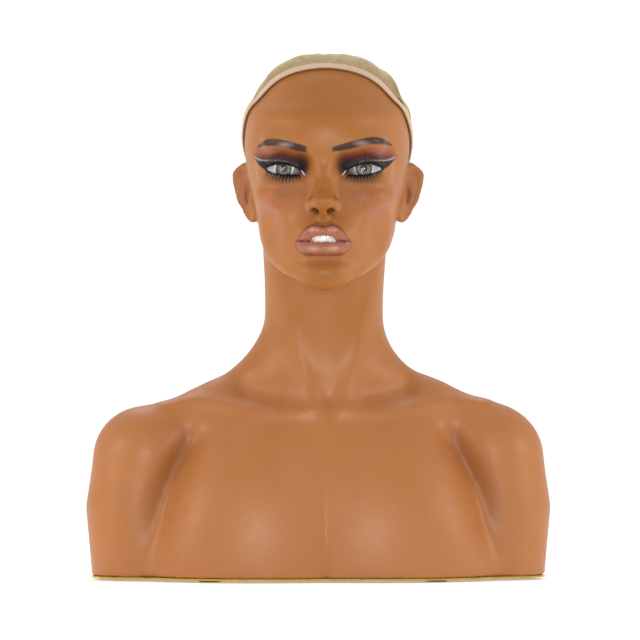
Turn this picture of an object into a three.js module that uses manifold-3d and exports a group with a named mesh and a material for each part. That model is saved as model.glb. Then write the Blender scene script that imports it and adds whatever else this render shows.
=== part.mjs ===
// Mannequin training head: a hollow PVC bust with inset eyes, lashes, teeth, a pull-on wig cap
// and a screwed base board. Millimetres, +Z up, the face looks along -Y.
import * as THREE from "three";
import { ParametricGeometry } from "three/addons/geometries/ParametricGeometry.js";
import { mergeVertices } from "three/addons/utils/BufferGeometryUtils.js";
import Module from "manifold-3d";

const wasm = await Module();
wasm.setup();
const { Manifold } = wasm;

// ---------------------------------------------------------------- driving dimensions
const SHOULDER_WIDTH = 429; // across the arm stumps
const CHIN_HEIGHT = 268.5; // underside of the chin above the floor
const HEAD_HEIGHT = 212; // chin to crown
const HEAD_TURN = -6; // degrees, towards the left stump
const SHELL_WALL = 3.5;
const EYE_RADIUS = 24;
const LID_THICKNESS = 1.9;
const IRIS_DIAMETER = 15.6;
const CAP_EASE = 1.3; // air between scalp and net
const NET_THICKNESS = 1.2;
const BAND_THICKNESS = 2.2;
const BAND_WIDTH = 9;
const PAD_HEIGHT = 1.7;
const PAD_DIAMETER = 20;
const TRIM_HEIGHT = 1.7;
const BOARD_THICKNESS = 6;
const BLOCK_SIZE = { x: 34, y: 24, z: 28 };
const SCREW = { shank: 3.5, length: 22, head: 8, headHeight: 2 };
const GAP = 0.3; // clearance between touching pieces

// ---------------------------------------------------------------- derived positions
const FORM = { shoulders: 429, chin: 268.5, head: 212 }; // the size the form is sculpted at
const torsoScale = SHOULDER_WIDTH / FORM.shoulders;
const headScale = HEAD_HEIGHT / FORM.head;
const turn = THREE.MathUtils.degToRad(HEAD_TURN);
const headPivot = new THREE.Vector3(3.2 * headScale, 14 * torsoScale, CHIN_HEIGHT);
const trimBottom = PAD_HEIGHT + GAP;
const shellBottom = trimBottom + TRIM_HEIGHT + GAP;
const boardTop = trimBottom + BOARD_THICKNESS;

// ---------------------------------------------------------------- form language
const clamp = (v, lo, hi) => Math.min(Math.max(v, lo), hi);
const ramp = (v, a, b) => THREE.MathUtils.smoothstep(v, a, b);

/** Union of two distances with a fillet of radius about k. */
function blend(a, b, k) {
  const h = clamp(0.5 + (0.5 * (b - a)) / k, 0, 1);
  return b + (a - b) * h - k * h * (1 - h);
}
/** Cut of two distances with a fillet of radius about k. */
const carve = (a, b, k) => -blend(-a, -b, k);

function ellipsoid(x, y, z, [cx, cy, cz], [rx, ry, rz]) {
  const [a, b, c] = [(x - cx) / rx, (y - cy) / ry, (z - cz) / rz];
  const near = Math.hypot(a, b, c);
  return (near * (near - 1)) / (Math.hypot(a / rx, b / ry, c / rz) + 1e-9);
}
function capsule(x, y, z, a, b, ra, rb) {
  const [ex, ey, ez] = [b[0] - a[0], b[1] - a[1], b[2] - a[2]];
  const along = (x - a[0]) * ex + (y - a[1]) * ey + (z - a[2]) * ez;
  const t = clamp(along / (ex * ex + ey * ey + ez * ez), 0, 1);
  return Math.hypot(x - a[0] - t * ex, y - a[1] - t * ey, z - a[2] - t * ez) - ra - (rb - ra) * t;
}
/** Profile through [height, value] stations, smooth between them. */
function profile(stations) {
  const curve = stations.map(([h, v]) => new THREE.Vector2(h, v));
  const slope = curve.map((p, i) => {
    const [a, b] = [curve[Math.max(i - 1, 0)], curve[Math.min(i + 1, curve.length - 1)]];
    return (b.y - a.y) / (b.x - a.x);
  });
  return (h) => {
    const at = clamp(h, curve[0].x, curve.at(-1).x);
    let i = 0;
    while (i < curve.length - 2 && at > curve[i + 1].x) i++;
    const span = curve[i + 1].x - curve[i].x;
    const t = (at - curve[i].x) / span;
    const [p, q] = [curve[i].y, curve[i + 1].y];
    return (
      (2 * t ** 3 - 3 * t ** 2 + 1) * p + (t ** 3 - 2 * t ** 2 + t) * span * slope[i] +
      (3 * t ** 2 - 2 * t ** 3) * q + (t ** 3 - t ** 2) * span * slope[i + 1]
    );
  };
}

// ---------------------------------------------------------------- the head's form
const faceWidth = profile([[258, 30], [268, 42], [276, 48.5], [287, 54.5], [297, 57.8], [311, 60.5],
  [333, 63.8], [355, 66], [380, 68], [400, 68], [430, 65.5]]);
const faceFront = profile([[258, 80], [270, 86], [284, 90], [296, 86.5], [313, 90], [332, 88],
  [345, 85], [362, 83], [380, 84.5], [400, 91], [415, 91.5], [435, 86]]);
const EYE = [36.5, -54, 378.5];

function skull(x, y, z) {
  const round = ellipsoid(x, y, z, [0, 1, 402], [69.5, 92, 80]);
  return blend(round, ellipsoid(Math.abs(x), y, z, [22, 8, 412], [47, 74, 66]), 14);
}
function nose(x, ax, y, z) {
  let d = capsule(x, y, z, [0, -80, 392], [0, -91, 374], 7.5, 5.6);
  d = blend(d, capsule(x, y, z, [0, -91, 374], [0, -105, 351], 5.6, 6.6), 5);
  d = blend(d, capsule(x, y, z, [0, -74, 390], [0, -89, 354], 7, 10), 6);
  d = blend(d, ellipsoid(x, y, z, [0, -107.5, 347.5], [9, 9, 7.8]), 5);
  return blend(d, ellipsoid(ax, y, z, [11.6, -96.5, 343.6], [5.6, 9, 6.6]), 4.5);
}
function lips(ax, y, z) {
  let upper = capsule(ax, y, z, [4.8, -95.5, 321], [13, -92.8, 317.4], 6.6, 5.7);
  upper = blend(upper, capsule(ax, y, z, [13, -92.8, 317.4], [24.2, -83, 310.8], 5.7, 2.2), 3);
  let lower = capsule(ax, y, z, [0, -94.2, 305.6], [13.5, -91.4, 305.7], 6.8, 6.1);
  lower = blend(lower, capsule(ax, y, z, [13.5, -91.4, 305.7], [24.2, -82.6, 309.2], 6.1, 2.2), 3);
  return Math.min(upper, lower);
}
function head(x, y, z) {
  const ax = Math.abs(x);
  const [w, f] = [faceWidth(z), faceFront(z)];
  const depth = y < 0 ? -y / f : y / 62;
  const jaw = (268 + 0.46 * (y + 84) - z) / 1.1;
  let mask = (((ax / w) ** 2.35 + depth ** 2.35) ** (1 / 2.35) - 1) * Math.min(w, f);
  mask = carve(carve(mask, jaw, 14), z - 428, 10);
  let d = blend(skull(x, y, z), mask, 22);
  d = blend(d, ellipsoid(ax, y, z, [44, -52, 351], [18, 24, 14]), 14);
  d = blend(d, ellipsoid(x, y, z, [0, -80, 283], [19, 15, 14]), 12);
  d = blend(d, ellipsoid(ax, y, z, [27, -76, 402], [26, 13, 9]), 12);
  d = carve(d, -ellipsoid(ax, y, z, [58, -72, 322], [14, 26, 20]), 16);
  d = carve(d, -ellipsoid(ax, y, z, [35, -101, 380], [23, 22, 13.5]), 10);
  d = carve(d, -ellipsoid(ax, y, z, [19, -94, 379], [9, 10, 9]), 9);
  const lid = Math.hypot(ax - EYE[0], y - EYE[1], z - EYE[2]) - EYE_RADIUS - LID_THICKNESS;
  d = blend(blend(d, lid, 4), nose(x, ax, y, z), 6.5);
  d = blend(d, ellipsoid(x, y, z, [0, -78, 315], [27, 19, 20]), 10);
  return blend(d, lips(ax, y, z), 2.6);
}

// ---------------------------------------------------------------- the neck and torso form
const neckWidth = profile([[150, 63], [190, 59], [215, 56], [245, 54.4], [270, 54.4], [300, 55]]);
const neckDepth = profile([[150, 58], [190, 54], [230, 51], [270, 51], [300, 54], [330, 58]]);
const neckAxis = profile([[150, 34], [190, 28], [230, 20], [270, 15], [300, 12]]);

function neck(x, y, z) {
  const [w, t] = [neckWidth(z), neckDepth(z)];
  const d = (Math.hypot(x / w, (y - neckAxis(z)) / t) - 1) * Math.min(w, t);
  return carve(carve(d, z - 338, 10), 140 - z, 10);
}
const TRUNK_SIDE = -5; // the trunk's middle, from the neck's
/** Arm stumps, shoulders and chest. */
function torso(fromNeck, y, height) {
  const x = fromNeck - TRUNK_SIDE;
  const ax = Math.abs(x);
  const z = height - 6.5 * Math.exp(-(((x - 122) / 48) ** 2)) * ramp(height, 95, 150);
  const stump = (y - 16) * 0.95;
  let d = Math.min(capsule(ax, stump, z, [161, 0, -30], [169.5, 0, 66], 45, 45),
    capsule(ax, stump, z, [169.5, 0, 66], [162.5, 0, 112], 45, 45));
  d = blend(d, capsule(ax, y, z, [158, 18, 115], [92, 26, 142], 41, 37), 14);
  d = blend(d, capsule(ax, y, z, [92, 26, 142], [36, 30, 180], 37, 34), 14);
  d = blend(d, ellipsoid(x, y, z, [0, 6, 40], [154, 74, 142]), 22);
  d = blend(d, ellipsoid(ax, y, z, [62, 52, 60], [74, 46, 104]), 24);
  return blend(d, ellipsoid(ax, y, z, [55, -20, 20], [102, 70, 122]), 20);
}
/** Soft ridge or groove that follows a line drawn on the front of the body. */
function stroke(x, z, line, width) {
  let near = Infinity;
  for (let i = 1; i < line.length; i++) {
    const [[ax, az], [bx, bz]] = [line[i - 1], line[i]];
    const [dx, dz] = [bx - ax, bz - az];
    const t = clamp(((x - ax) * dx + (z - az) * dz) / (dx * dx + dz * dz), 0, 1);
    near = Math.min(near, (x - ax - t * dx) ** 2 + (z - az - t * dz) ** 2);
  }
  return Math.exp(-near / (width * width));
}
function chestRelief(x, y, z) {
  const ax = Math.abs(x);
  const front = 1 - ramp(y, -5, 35);
  if (front === 0) return 0;
  const collar = stroke(ax, z, [[12, 157], [40, 155], [80, 160], [118, 166], [150, 164]], 6.5);
  const notch = stroke(x, z, [[-4, 166], [4, 166]], 10);
  const pit = stroke(ax, z, [[40, 171], [72, 174]], 13);
  const strap = stroke(ax, z, [[52, 300], [40, 250], [25, 200], [13, 166]], 8);
  return front * (3.2 * collar - 4 * notch - 5.5 * pit + 3 * strap);
}

/** World point to the head's own sculpting frame, and the matrix the other way. */
const headMatrix = new THREE.Matrix4()
  .makeTranslation(headPivot.x, headPivot.y, headPivot.z)
  .multiply(new THREE.Matrix4().makeRotationZ(turn))
  .multiply(new THREE.Matrix4().makeScale(headScale, headScale, headScale))
  .multiply(new THREE.Matrix4().makeTranslation(0, -14, -FORM.chin));
const toHead = headMatrix.clone().invert();
const probe = new THREE.Vector3();

/** Torso and neck as one form. */
function trunk(x, y, z) {
  const s = torsoScale;
  const stretch = (CHIN_HEIGHT - 180 * s) / (FORM.chin - 180); // neck length
  const tz = z < 180 * s ? z / s : 180 + (z - 180 * s) / stretch;
  const d = blend(torso(x / s, y / s, z / s), neck(x / s, y / s, tz), 34);
  return (d - chestRelief(x / s, y / s, tz)) * s;
}
function body(x, y, z) {
  probe.set(x, y, z).applyMatrix4(toHead);
  return blend(trunk(x, y, z), head(probe.x, probe.y, probe.z) * headScale, 9);
}

const scalpPoint = new THREE.Vector3();
/** The whole body, measured in the head's own frame. */
function scalp(x, y, z) {
  scalpPoint.set(x, y, z).applyMatrix4(headMatrix);
  return body(scalpPoint.x, scalpPoint.y, scalpPoint.z) / headScale;
}

// ---------------------------------------------------------------- surfaces from the form
/** Distance from `origin` along `direction` to the outermost point where the field is `level`. */
function reach(field, origin, direction, level, far) {
  const at = (t) => field(origin.x + direction.x * t, origin.y + direction.y * t,
    origin.z + direction.z * t) - level;
  const stride = far / 130;
  let t = far;
  while (t > stride && at(t) > 0) t -= stride;
  let [inside, outside] = [t, t + stride];
  for (let i = 0; i < 14; i++) {
    const middle = (inside + outside) / 2;
    if (at(middle) > 0) outside = middle;
    else inside = middle;
  }
  return inside;
}
/** Values from each [start, spacing] run up to the next start; the last entry is the end. */
function spread(runs, end) {
  return runs.flatMap(([start, spacing], i) => {
    const stop = runs[i + 1]?.[0] ?? end;
    const count = Math.max(1, Math.round((stop - start) / spacing));
    return Array.from({ length: count }, (_, k) => start + ((stop - start) * k) / count);
  });
}
/** A closed sheet over a grid of points: `grid[j][i]`, i wraps round, the end rows are poles. */
function wrapped(grid) {
  const [rows, cols] = [grid.length - 1, grid[0].length];
  const surface = (u, v, target) =>
    target.copy(grid[Math.round(v * rows)][Math.round(u * cols) % cols]);
  return new ParametricGeometry(surface, cols, rows);
}
const degrees = (list) => list.map(THREE.MathUtils.degToRad);
/** Ring of surface points: rays leave `origin` at each angle round +Z, pitched up by `pitch`. */
function ring(field, origin, pitch, angles, level, far) {
  return angles.map((a) => {
    const flat = Math.cos(pitch);
    const dir = new THREE.Vector3(Math.sin(a) * flat, -Math.cos(a) * flat, Math.sin(pitch));
    return origin.clone().addScaledVector(dir, reach(field, origin, dir, level, far));
  });
}
const poleAt = (point, angles) => angles.map(() => point.clone());

const torsoAngles = degrees(spread([[-54, 6], [54, 8], [70, 4.5], [110, 10], [250, 4.5],
  [290, 8]], 306));
const torsoCore = (z) => new THREE.Vector3(0, 16, z).multiplyScalar(torsoScale);
/** Arm stumps, chest and shoulders up to the root of the neck. */
function torsoSurface(level, bottom, pitchStep) {
  const far = 300 * torsoScale;
  const walls = spread([[0, 27]], 84).map((z) => z * torsoScale).filter((z) => z > bottom + 3);
  const round = (origin, pitch) => ring(trunk, origin, pitch, torsoAngles, level, far);
  const low = new THREE.Vector3(0, torsoCore(0).y, bottom);
  return wrapped([
    poleAt(low, torsoAngles), round(low, 0),
    ...walls.map((z) => round(new THREE.Vector3(0, low.y, z), 0)),
    ...degrees(spread([[0, pitchStep]], 67)).map((pitch) => round(torsoCore(84), pitch)),
    poleAt(torsoCore(175), torsoAngles),
  ]);
}
const neckAngles = degrees(spread([[0, 12]], 360));
function neckSurface(level, spacing) {
  const heights = spread([[177 * torsoScale, spacing]], CHIN_HEIGHT + 12 * headScale);
  const core = (z) => new THREE.Vector3(0, 20 * torsoScale, z);
  return wrapped([
    poleAt(core(heights[0]), neckAngles),
    ...heights.map((z) => ring(trunk, core(z), 0, neckAngles, level, 200 * torsoScale)),
    poleAt(core(heights.at(-1)), neckAngles),
  ]);
}
const headAngles = degrees(spread([[-33, 4.1], [33, 9], [60, 12], [300, 9]], 327));
const roughHeadAngles = degrees(spread([[0, 15]], 360));
const headCore = new THREE.Vector3(0, -12, 352);
/** Head with the top of the neck, in the head's own frame and without ears. */
function headSurface(level, angles, pitches) {
  const far = 132;
  const end = (up) => headCore.clone().addScaledVector(new THREE.Vector3(0, 0, up),
    up < 0 ? 100 : reach(scalp, headCore, new THREE.Vector3(0, 0, 1), level, far));
  return wrapped([poleAt(end(-1), angles),
    ...degrees(pitches).map((p) => ring(scalp, headCore, p, angles, level, far)),
    poleAt(end(1), angles)]);
}
const facePitches = spread([[-80, 12], [-56, 4.5], [-38, 2.8], [4, 4], [28, 10]], 88);
const roughPitches = spread([[-75, 15]], 85);

// ---------------------------------------------------------------- solids
/** A closed three.js geometry as a solid that can be joined and cut. */
function solid(geometry, matrix) {
  const bare = new THREE.BufferGeometry();
  bare.setAttribute("position", geometry.getAttribute("position").clone());
  if (geometry.index) bare.setIndex(geometry.index.clone());
  if (matrix) bare.applyMatrix4(matrix);
  const merged = mergeVertices(bare, 1e-4);
  const index = [];
  for (let i = 0; i < merged.index.count; i += 3) {
    const [a, b, c] = [0, 1, 2].map((k) => merged.index.getX(i + k));
    if (a !== b && b !== c && c !== a) index.push(a, b, c);
  }
  const body3 = new Manifold(new wasm.Mesh({
    numProp: 3,
    vertProperties: new Float32Array(merged.getAttribute("position").array),
    triVerts: new Uint32Array(index),
  }));
  if (body3.volume() > 0) return body3;
  for (let i = 0; i < index.length; i += 3) [index[i], index[i + 1]] = [index[i + 1], index[i]];
  return new Manifold(new wasm.Mesh({
    numProp: 3,
    vertProperties: new Float32Array(merged.getAttribute("position").array),
    triVerts: new Uint32Array(index),
  }));
}
function toGeometry(shape) {
  const mesh = shape.getMesh();
  const geometry = new THREE.BufferGeometry();
  const points = [];
  for (let i = 0; i < mesh.numVert; i++) {
    points.push(...mesh.vertProperties.slice(i * mesh.numProp, i * mesh.numProp + 3));
  }
  geometry.setAttribute("position", new THREE.Float32BufferAttribute(points, 3));
  geometry.setIndex([...mesh.triVerts]);
  const flat = geometry.toNonIndexed();
  flat.computeVertexNormals();
  return flat;
}
const at = (x, y, z) => new THREE.Matrix4().makeTranslation(x, y, z);
/** Mirror a solid in its own frame for the other side of the head. */
const sided = (shape, side) => (side < 0 ? shape.mirror([1, 0, 0]) : shape);
const placed = (shape, matrix) => shape.transform(matrix.elements);
const upright = (shape, depth, options = {}) =>
  new THREE.ExtrudeGeometry(shape, { depth, bevelEnabled: false, ...options });
/** Shape drawn in (x, z) and pushed back along +Y from y = front. */
const pushedBack = (shape, front, depth, options) =>
  solid(upright(shape, depth, options), at(0, front + depth, 0).multiply(
    new THREE.Matrix4().makeRotationX(Math.PI / 2)));

const bustMaterial = (color, roughness = 0.6) =>
  new THREE.MeshStandardMaterial({ color, roughness });
const assembly = new THREE.Group();
assembly.name = "mannequin_training_head";
function add(name, shape, color, roughness) {
  const mesh = new THREE.Mesh(toGeometry(shape), bustMaterial(color, roughness));
  mesh.name = name;
  assembly.add(mesh);
}

// ---------------------------------------------------------------- eyelid lines
const LID = { inner: 19.4, outer: 53.6 };
const lidT = (x) => clamp((x - LID.inner) / (LID.outer - LID.inner), 0, 1);
const lidBase = (t) => 373.8 + 3.9 * t;
const upperLid = (t) => lidBase(t) + 6.3 * Math.sin(Math.PI * t ** 0.92) ** 0.72;
const lowerLid = (t) => lidBase(t) - 3 * Math.sin(Math.PI * t ** 1.15) ** 0.8;
const lidX = (t) => LID.inner + (LID.outer - LID.inner) * t;
/** Depth of the face's skin at a point seen from the front, `proud` of the surface. */
function skinY(x, z, proud) {
  const from = new THREE.Vector3(x, -40, z);
  return from.y - reach(head, from, new THREE.Vector3(0, -1, 0), proud, 80);
}

function almond() {
  const steps = 18;
  const shape = new THREE.Shape();
  shape.moveTo(lidX(0), lidBase(0));
  for (let i = 1; i <= steps; i++) shape.lineTo(lidX(i / steps), upperLid(i / steps));
  for (let i = steps - 1; i > 0; i--) shape.lineTo(lidX(i / steps), lowerLid(i / steps));
  return shape;
}

// ---------------------------------------------------------------- ears
function ear() {
  const outline = new THREE.Shape();
  outline.setFromPoints(new THREE.CatmullRomCurve3([[-3, -16], [3, -26], [9.5, -25.5], [12.5, -19],
    [15, -9], [21, 2], [23.5, 12], [21, 21], [13, 25.5], [4, 23], [-1, 16], [-4, 6], [-4, -6],
  ].map(([u, v]) => new THREE.Vector3(u, v, 0)), true).getPoints(20).slice(0, -1));
  const plate = solid(new THREE.ExtrudeGeometry(outline, { depth: 1.6, bevelThickness: 1.1,
    bevelSize: 1.1, bevelOffset: -1, bevelSegments: 1 }));
  const rim = new THREE.CatmullRomCurve3([[1, 13, 2], [6, 21, 3.2], [13, 23.4, 3.8], [20, 19, 4],
    [21.6, 11, 4], [19, 2, 3.6], [14, -8, 3]].map((p) => new THREE.Vector3(...p)));
  const dot = new THREE.Shape().absarc(0, 0, 2.1, 0, Math.PI * 2);
  const helix = solid(new THREE.ExtrudeGeometry(dot, { steps: 10, curveSegments: 3,
    extrudePath: rim }));
  const bowl = solid(new THREE.SphereGeometry(6.4, 10, 7), at(8, -1, 4.6).scale(
    new THREE.Vector3(1, 1.5, 0.62)));
  const piercing = solid(new THREE.CylinderGeometry(0.9, 0.9, 12, 10), at(6.5, -21, 0).multiply(
    new THREE.Matrix4().makeRotationX(Math.PI / 2)));
  const flat = plate.add(helix).subtract(bowl).subtract(piercing);
  // u runs backwards along the head, v up, the thickness outwards; flared 33 and leaned 9 degrees
  const flare = THREE.MathUtils.degToRad(33);
  const lean = THREE.MathUtils.degToRad(9);
  const frame = new THREE.Matrix4().makeBasis(
    new THREE.Vector3(Math.sin(flare), Math.cos(flare), 0),
    new THREE.Vector3(Math.sin(flare) * Math.sin(lean), Math.cos(flare) * Math.sin(lean),
      Math.cos(lean)),
    new THREE.Vector3(Math.cos(flare), -Math.sin(flare), 0));
  const root = solid(new THREE.SphereGeometry(1, 12, 8), at(64.5, 8, 358).scale(
    new THREE.Vector3(9, 7, 17)));
  return placed(flat, at(66.5, 3, 357).multiply(frame.setPosition(0, 0, 0))).add(root);
}

// ---------------------------------------------------------------- bust shell
const MOUTH = { width: 22, height: 5.4, z: 314, front: -99, pocket: 9 };
function mouthCut() {
  const slit = new THREE.Shape().absellipse(0, MOUTH.z, MOUTH.width / 2, MOUTH.height / 2, 0,
    Math.PI * 2);
  const pocket = new THREE.Shape().absellipse(0, MOUTH.z, MOUTH.width / 2 + 2.5,
    MOUTH.height / 2 + 2, 0, Math.PI * 2);
  return pushedBack(slit, -116, 24, { curveSegments: 10 })
    .add(pushedBack(pocket, MOUTH.front + 2, MOUTH.pocket + 12, { curveSegments: 10 }));
}
function bustShell() {
  let shell = solid(torsoSurface(0, shellBottom, 5)).add(solid(neckSurface(0, 12)))
    .add(solid(headSurface(0, headAngles, facePitches), headMatrix));
  const hollow = solid(torsoSurface(-SHELL_WALL, shellBottom - 5, 10))
    .add(solid(neckSurface(-SHELL_WALL, 24)))
    .add(solid(headSurface(-SHELL_WALL / headScale, roughHeadAngles, roughPitches), headMatrix));
  const pocket = solid(new THREE.SphereGeometry(EYE_RADIUS + 2 * GAP, 24, 16),
    at(...EYE).multiply(new THREE.Matrix4().makeRotationX(Math.PI / 2)));
  const aperture = pushedBack(almond(), -110, 60);
  const nostril = solid(new THREE.SphereGeometry(1, 10, 8), at(6.4, -99, 337.5).scale(
    new THREE.Vector3(3, 5, 4)));
  for (const side of [-1, 1]) shell = shell.add(placed(sided(ear(), side), headMatrix));
  shell = shell.subtract(hollow).subtract(placed(mouthCut(), headMatrix));
  for (const side of [-1, 1]) {
    for (const cut of [pocket, aperture, nostril]) {
      shell = shell.subtract(placed(sided(cut, side), headMatrix));
    }
  }
  return shell.decompose().sort((a, b) => b.volume() - a.volume())[0];
}
add("bust_shell", bustShell(), "#b4713d", 0.5);

// ---------------------------------------------------------------- eyes, turned profiles
/** A turned piece whose axis is the gaze: profile points are [radius, forward of centre]. */
function turned(points, segments = 28) {
  const outline = points.map(([r, h]) => new THREE.Vector2(r, h));
  outline.push(outline[0].clone());
  return solid(new THREE.LatheGeometry(outline, segments), at(...EYE).multiply(
    new THREE.Matrix4().makeRotationX(Math.PI)));
}
const irisRadius = IRIS_DIAMETER / 2;
function eyeWhite() {
  const [outer, inner] = [EYE_RADIUS, EYE_RADIUS - 2.6];
  const ring = (r, from, to, n) => Array.from({ length: n + 1 }, (_, i) => {
    const a = from + ((to - from) * i) / n;
    return [r * Math.sin(a), r * Math.cos(a)];
  });
  const edge = THREE.MathUtils.degToRad(64);
  const hole = irisRadius + GAP;
  return turned([...ring(outer, Math.asin(hole / outer), edge, 7),
    ...ring(inner, edge, Math.asin(hole / inner), 3)]);
}
function irisDisc() {
  const seat = Math.sqrt((EYE_RADIUS - 2.6) ** 2 - irisRadius ** 2);
  return turned([[0, seat], [irisRadius, seat], [irisRadius, seat + 1], [0, seat + 1]], 28);
}
function cornea() {
  const foot = Math.sqrt((EYE_RADIUS - 2.6) ** 2 - irisRadius ** 2) + 1 + GAP;
  const crest = EYE_RADIUS;
  const rimHeight = Math.sqrt(EYE_RADIUS ** 2 - irisRadius ** 2);
  const dome = Array.from({ length: 5 }, (_, i) => {
    const r = irisRadius * (1 - i / 4);
    return [r, crest - (crest - rimHeight) * (r / irisRadius) ** 2];
  });
  return turned([[0, foot], [irisRadius, foot], ...dome]);
}
for (const [label, side] of [["left", -1], ["right", 1]]) {
  const put = (shape) => placed(sided(shape, side), headMatrix);
  add(`${label}_eye_white`, put(eyeWhite()), "#ece8e2", 0.15);
  add(`${label}_iris`, put(irisDisc()), "#6f6a58", 0.2);
  add(`${label}_cornea`, put(cornea()), "#e8f0f2", 0.05);
}

// ---------------------------------------------------------------- lashes: combed strips
const LASH_SEAT = 0.9; // clear of the lid's facets
/** Strip of lashes rooted on a lid line; `up` is +1 for the upper lid and -1 for the lower. */
function lashes(lidLine, up, count, length, span) {
  const outline = new THREE.Shape();
  const rootAt = (t) => [lidX(t), lidLine(t)];
  const [from, to] = span;
  const start = rootAt(from);
  outline.moveTo(start[0], start[1]);
  for (let i = 0; i < count; i++) {
    const t = from + ((to - from) * (i + 0.5)) / count;
    const [x, z] = rootAt(t);
    const reachOut = length * (0.62 + 0.5 * Math.sin(Math.PI * t ** 1.3));
    outline.lineTo(x + 1.5 * (t - 0.25) * reachOut * 0.6, z + up * reachOut);
    if (i < count - 1) {
      const [nx, nz] = rootAt(from + ((to - from) * (i + 1)) / count);
      outline.lineTo(nx, nz + up * 1.3);
    }
  }
  outline.lineTo(...rootAt(to));
  for (let i = count - 1; i > 0; i--) outline.lineTo(...rootAt(from + ((to - from) * i) / count));
  const strip = upright(outline, 0.7);
  const positions = strip.getAttribute("position");
  for (let i = 0; i < positions.count; i++) {
    const [x, z, layer] = [positions.getX(i), positions.getY(i), positions.getZ(i)];
    const rise = up * (z - lidLine(lidT(x)));
    const root = skinY(x, lidLine(lidT(x)), LASH_SEAT) - 0.62 * Math.max(rise, 0);
    const y = Math.min(root, skinY(x, z, LASH_SEAT)) - layer;
    positions.setXYZ(i, x, y, z);
  }
  return solid(strip);
}
for (const [label, side] of [["left", -1], ["right", 1]]) {
  const put = (shape) => placed(sided(shape, side), headMatrix);
  add(`${label}_upper_lashes`, put(lashes(upperLid, 1, 16, 8.2, [0.12, 0.97])), "#17110e", 0.7);
  add(`${label}_lower_lashes`, put(lashes(lowerLid, -1, 12, 5.2, [0.2, 0.94])), "#1c1512", 0.7);
}

// ---------------------------------------------------------------- teeth
function teeth() {
  const bar = new THREE.Shape().absellipse(0, MOUTH.z, MOUTH.width / 2 + 2, MOUTH.height / 2 + 1.6,
    0, Math.PI * 2);
  return pushedBack(bar, MOUTH.front + 2.6, 3.2, { curveSegments: 10 });
}
add("teeth", placed(teeth(), headMatrix), "#f1ede6", 0.25);

// ---------------------------------------------------------------- wig cap
// The rim lies in one plane through the hairline, over the ears and round the nape.
const RIM = { tilt: THREE.MathUtils.degToRad(48.5), centre: new THREE.Vector3(0, 10, 416.3) };
const rimNormal = new THREE.Vector3(0, Math.sin(RIM.tilt), Math.cos(RIM.tilt));
const rimFront = new THREE.Vector3(0, -Math.cos(RIM.tilt), Math.sin(RIM.tilt));
/** Point over the scalp: `round` about the rim, `climb` from the rim (0) to the pole (90). */
function overScalp(round, climb, lift, drop = 0) {
  const side = new THREE.Vector3(1, 0, 0);
  const dir = rimFront.clone().multiplyScalar(Math.cos(round)).addScaledVector(side,
    Math.sin(round)).multiplyScalar(Math.cos(climb)).addScaledVector(rimNormal, Math.sin(climb));
  const fromSide = (Math.min(round, 2 * Math.PI - round) - 1.13) / 0.45;
  const dip = 9 * Math.exp(-(fromSide ** 2)) * Math.cos(climb) ** 2;
  const origin = RIM.centre.clone().addScaledVector(rimNormal, drop - dip);
  return origin.addScaledVector(dir, reach(scalp, origin, dir, lift, 150));
}
const capRounds = degrees(spread([[0, 10]], 360));
function capNet() {
  const climbs = degrees(spread([[0, 9], [27, 12.6]], 90));
  const [inner, outer] = [CAP_EASE, CAP_EASE + NET_THICKNESS];
  const row = (climb, lift) => capRounds.map((a) => overScalp(a, climb, lift));
  const pole = Math.PI / 2;
  return wrapped([row(pole, inner), ...climbs.toReversed().map((c) => row(c, inner)),
    ...climbs.map((c) => row(c, outer)), row(pole, outer)]);
}
function capBand() {
  const under = [-BAND_WIDTH - GAP, -GAP];
  const lifts = [CAP_EASE, CAP_EASE + BAND_THICKNESS];
  const edge = (drop, lift) => capRounds.map((a) => overScalp(a, 0, lift, drop));
  return [edge(under[0], lifts[0]), edge(under[1], lifts[0]), edge(under[1], lifts[1]),
    edge(under[0], lifts[1])];
}
/** A ring swept round: four point loops joined into a closed band. */
function looped(loops) {
  const [rows, cols] = [loops.length, loops[0].length];
  const surface = (u, v, target) =>
    target.copy(loops[Math.round(v * rows) % rows][Math.round(u * cols) % cols]);
  return new ParametricGeometry(surface, cols, rows);
}
add("cap_net", placed(solid(capNet()), headMatrix), "#d8c39a", 0.9);
add("cap_band", placed(solid(looped(capBand())), headMatrix), "#e2b48e", 0.8);

// ---------------------------------------------------------------- base: trim, board, blocks
/** Outline of the torso at height z, pushed in or out by `level`, as flat points. */
const outlineAt = (z, level) =>
  ring(trunk, new THREE.Vector3(0, torsoCore(0).y, z), 0, torsoAngles, level, 300 * torsoScale)
    .map((p) => new THREE.Vector2(p.x, p.y));
function edgeTrim() {
  const outer = new THREE.Shape(outlineAt(shellBottom, 0.5));
  outer.holes.push(new THREE.Path(outlineAt(shellBottom, -SHELL_WALL)));
  const ring = solid(upright(outer, TRIM_HEIGHT), at(0, 0, trimBottom));
  const joint = solid(new THREE.BoxGeometry(0.6, 40, 10), at(28.5 * torsoScale, -78 * torsoScale,
    trimBottom));
  return ring.subtract(joint);
}
function baseBoard() {
  const plan = new THREE.Shape(outlineAt(shellBottom, -SHELL_WALL - 1.6));
  return solid(upright(plan, BOARD_THICKNESS), at(0, 0, trimBottom));
}
const blockSpots = [["front_left", -70, -66], ["front_right", 70, -66], ["rear_left", -66, 72],
  ["rear_right", 66, 72]].map(([n, x, y]) => [n, (x + TRUNK_SIDE) * torsoScale, y * torsoScale]);
const screwSpots = blockSpots.map(([n, x, y]) => [n, x, y - Math.sign(y) * 3]);
const headSink = SCREW.headHeight + 0.6;

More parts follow.
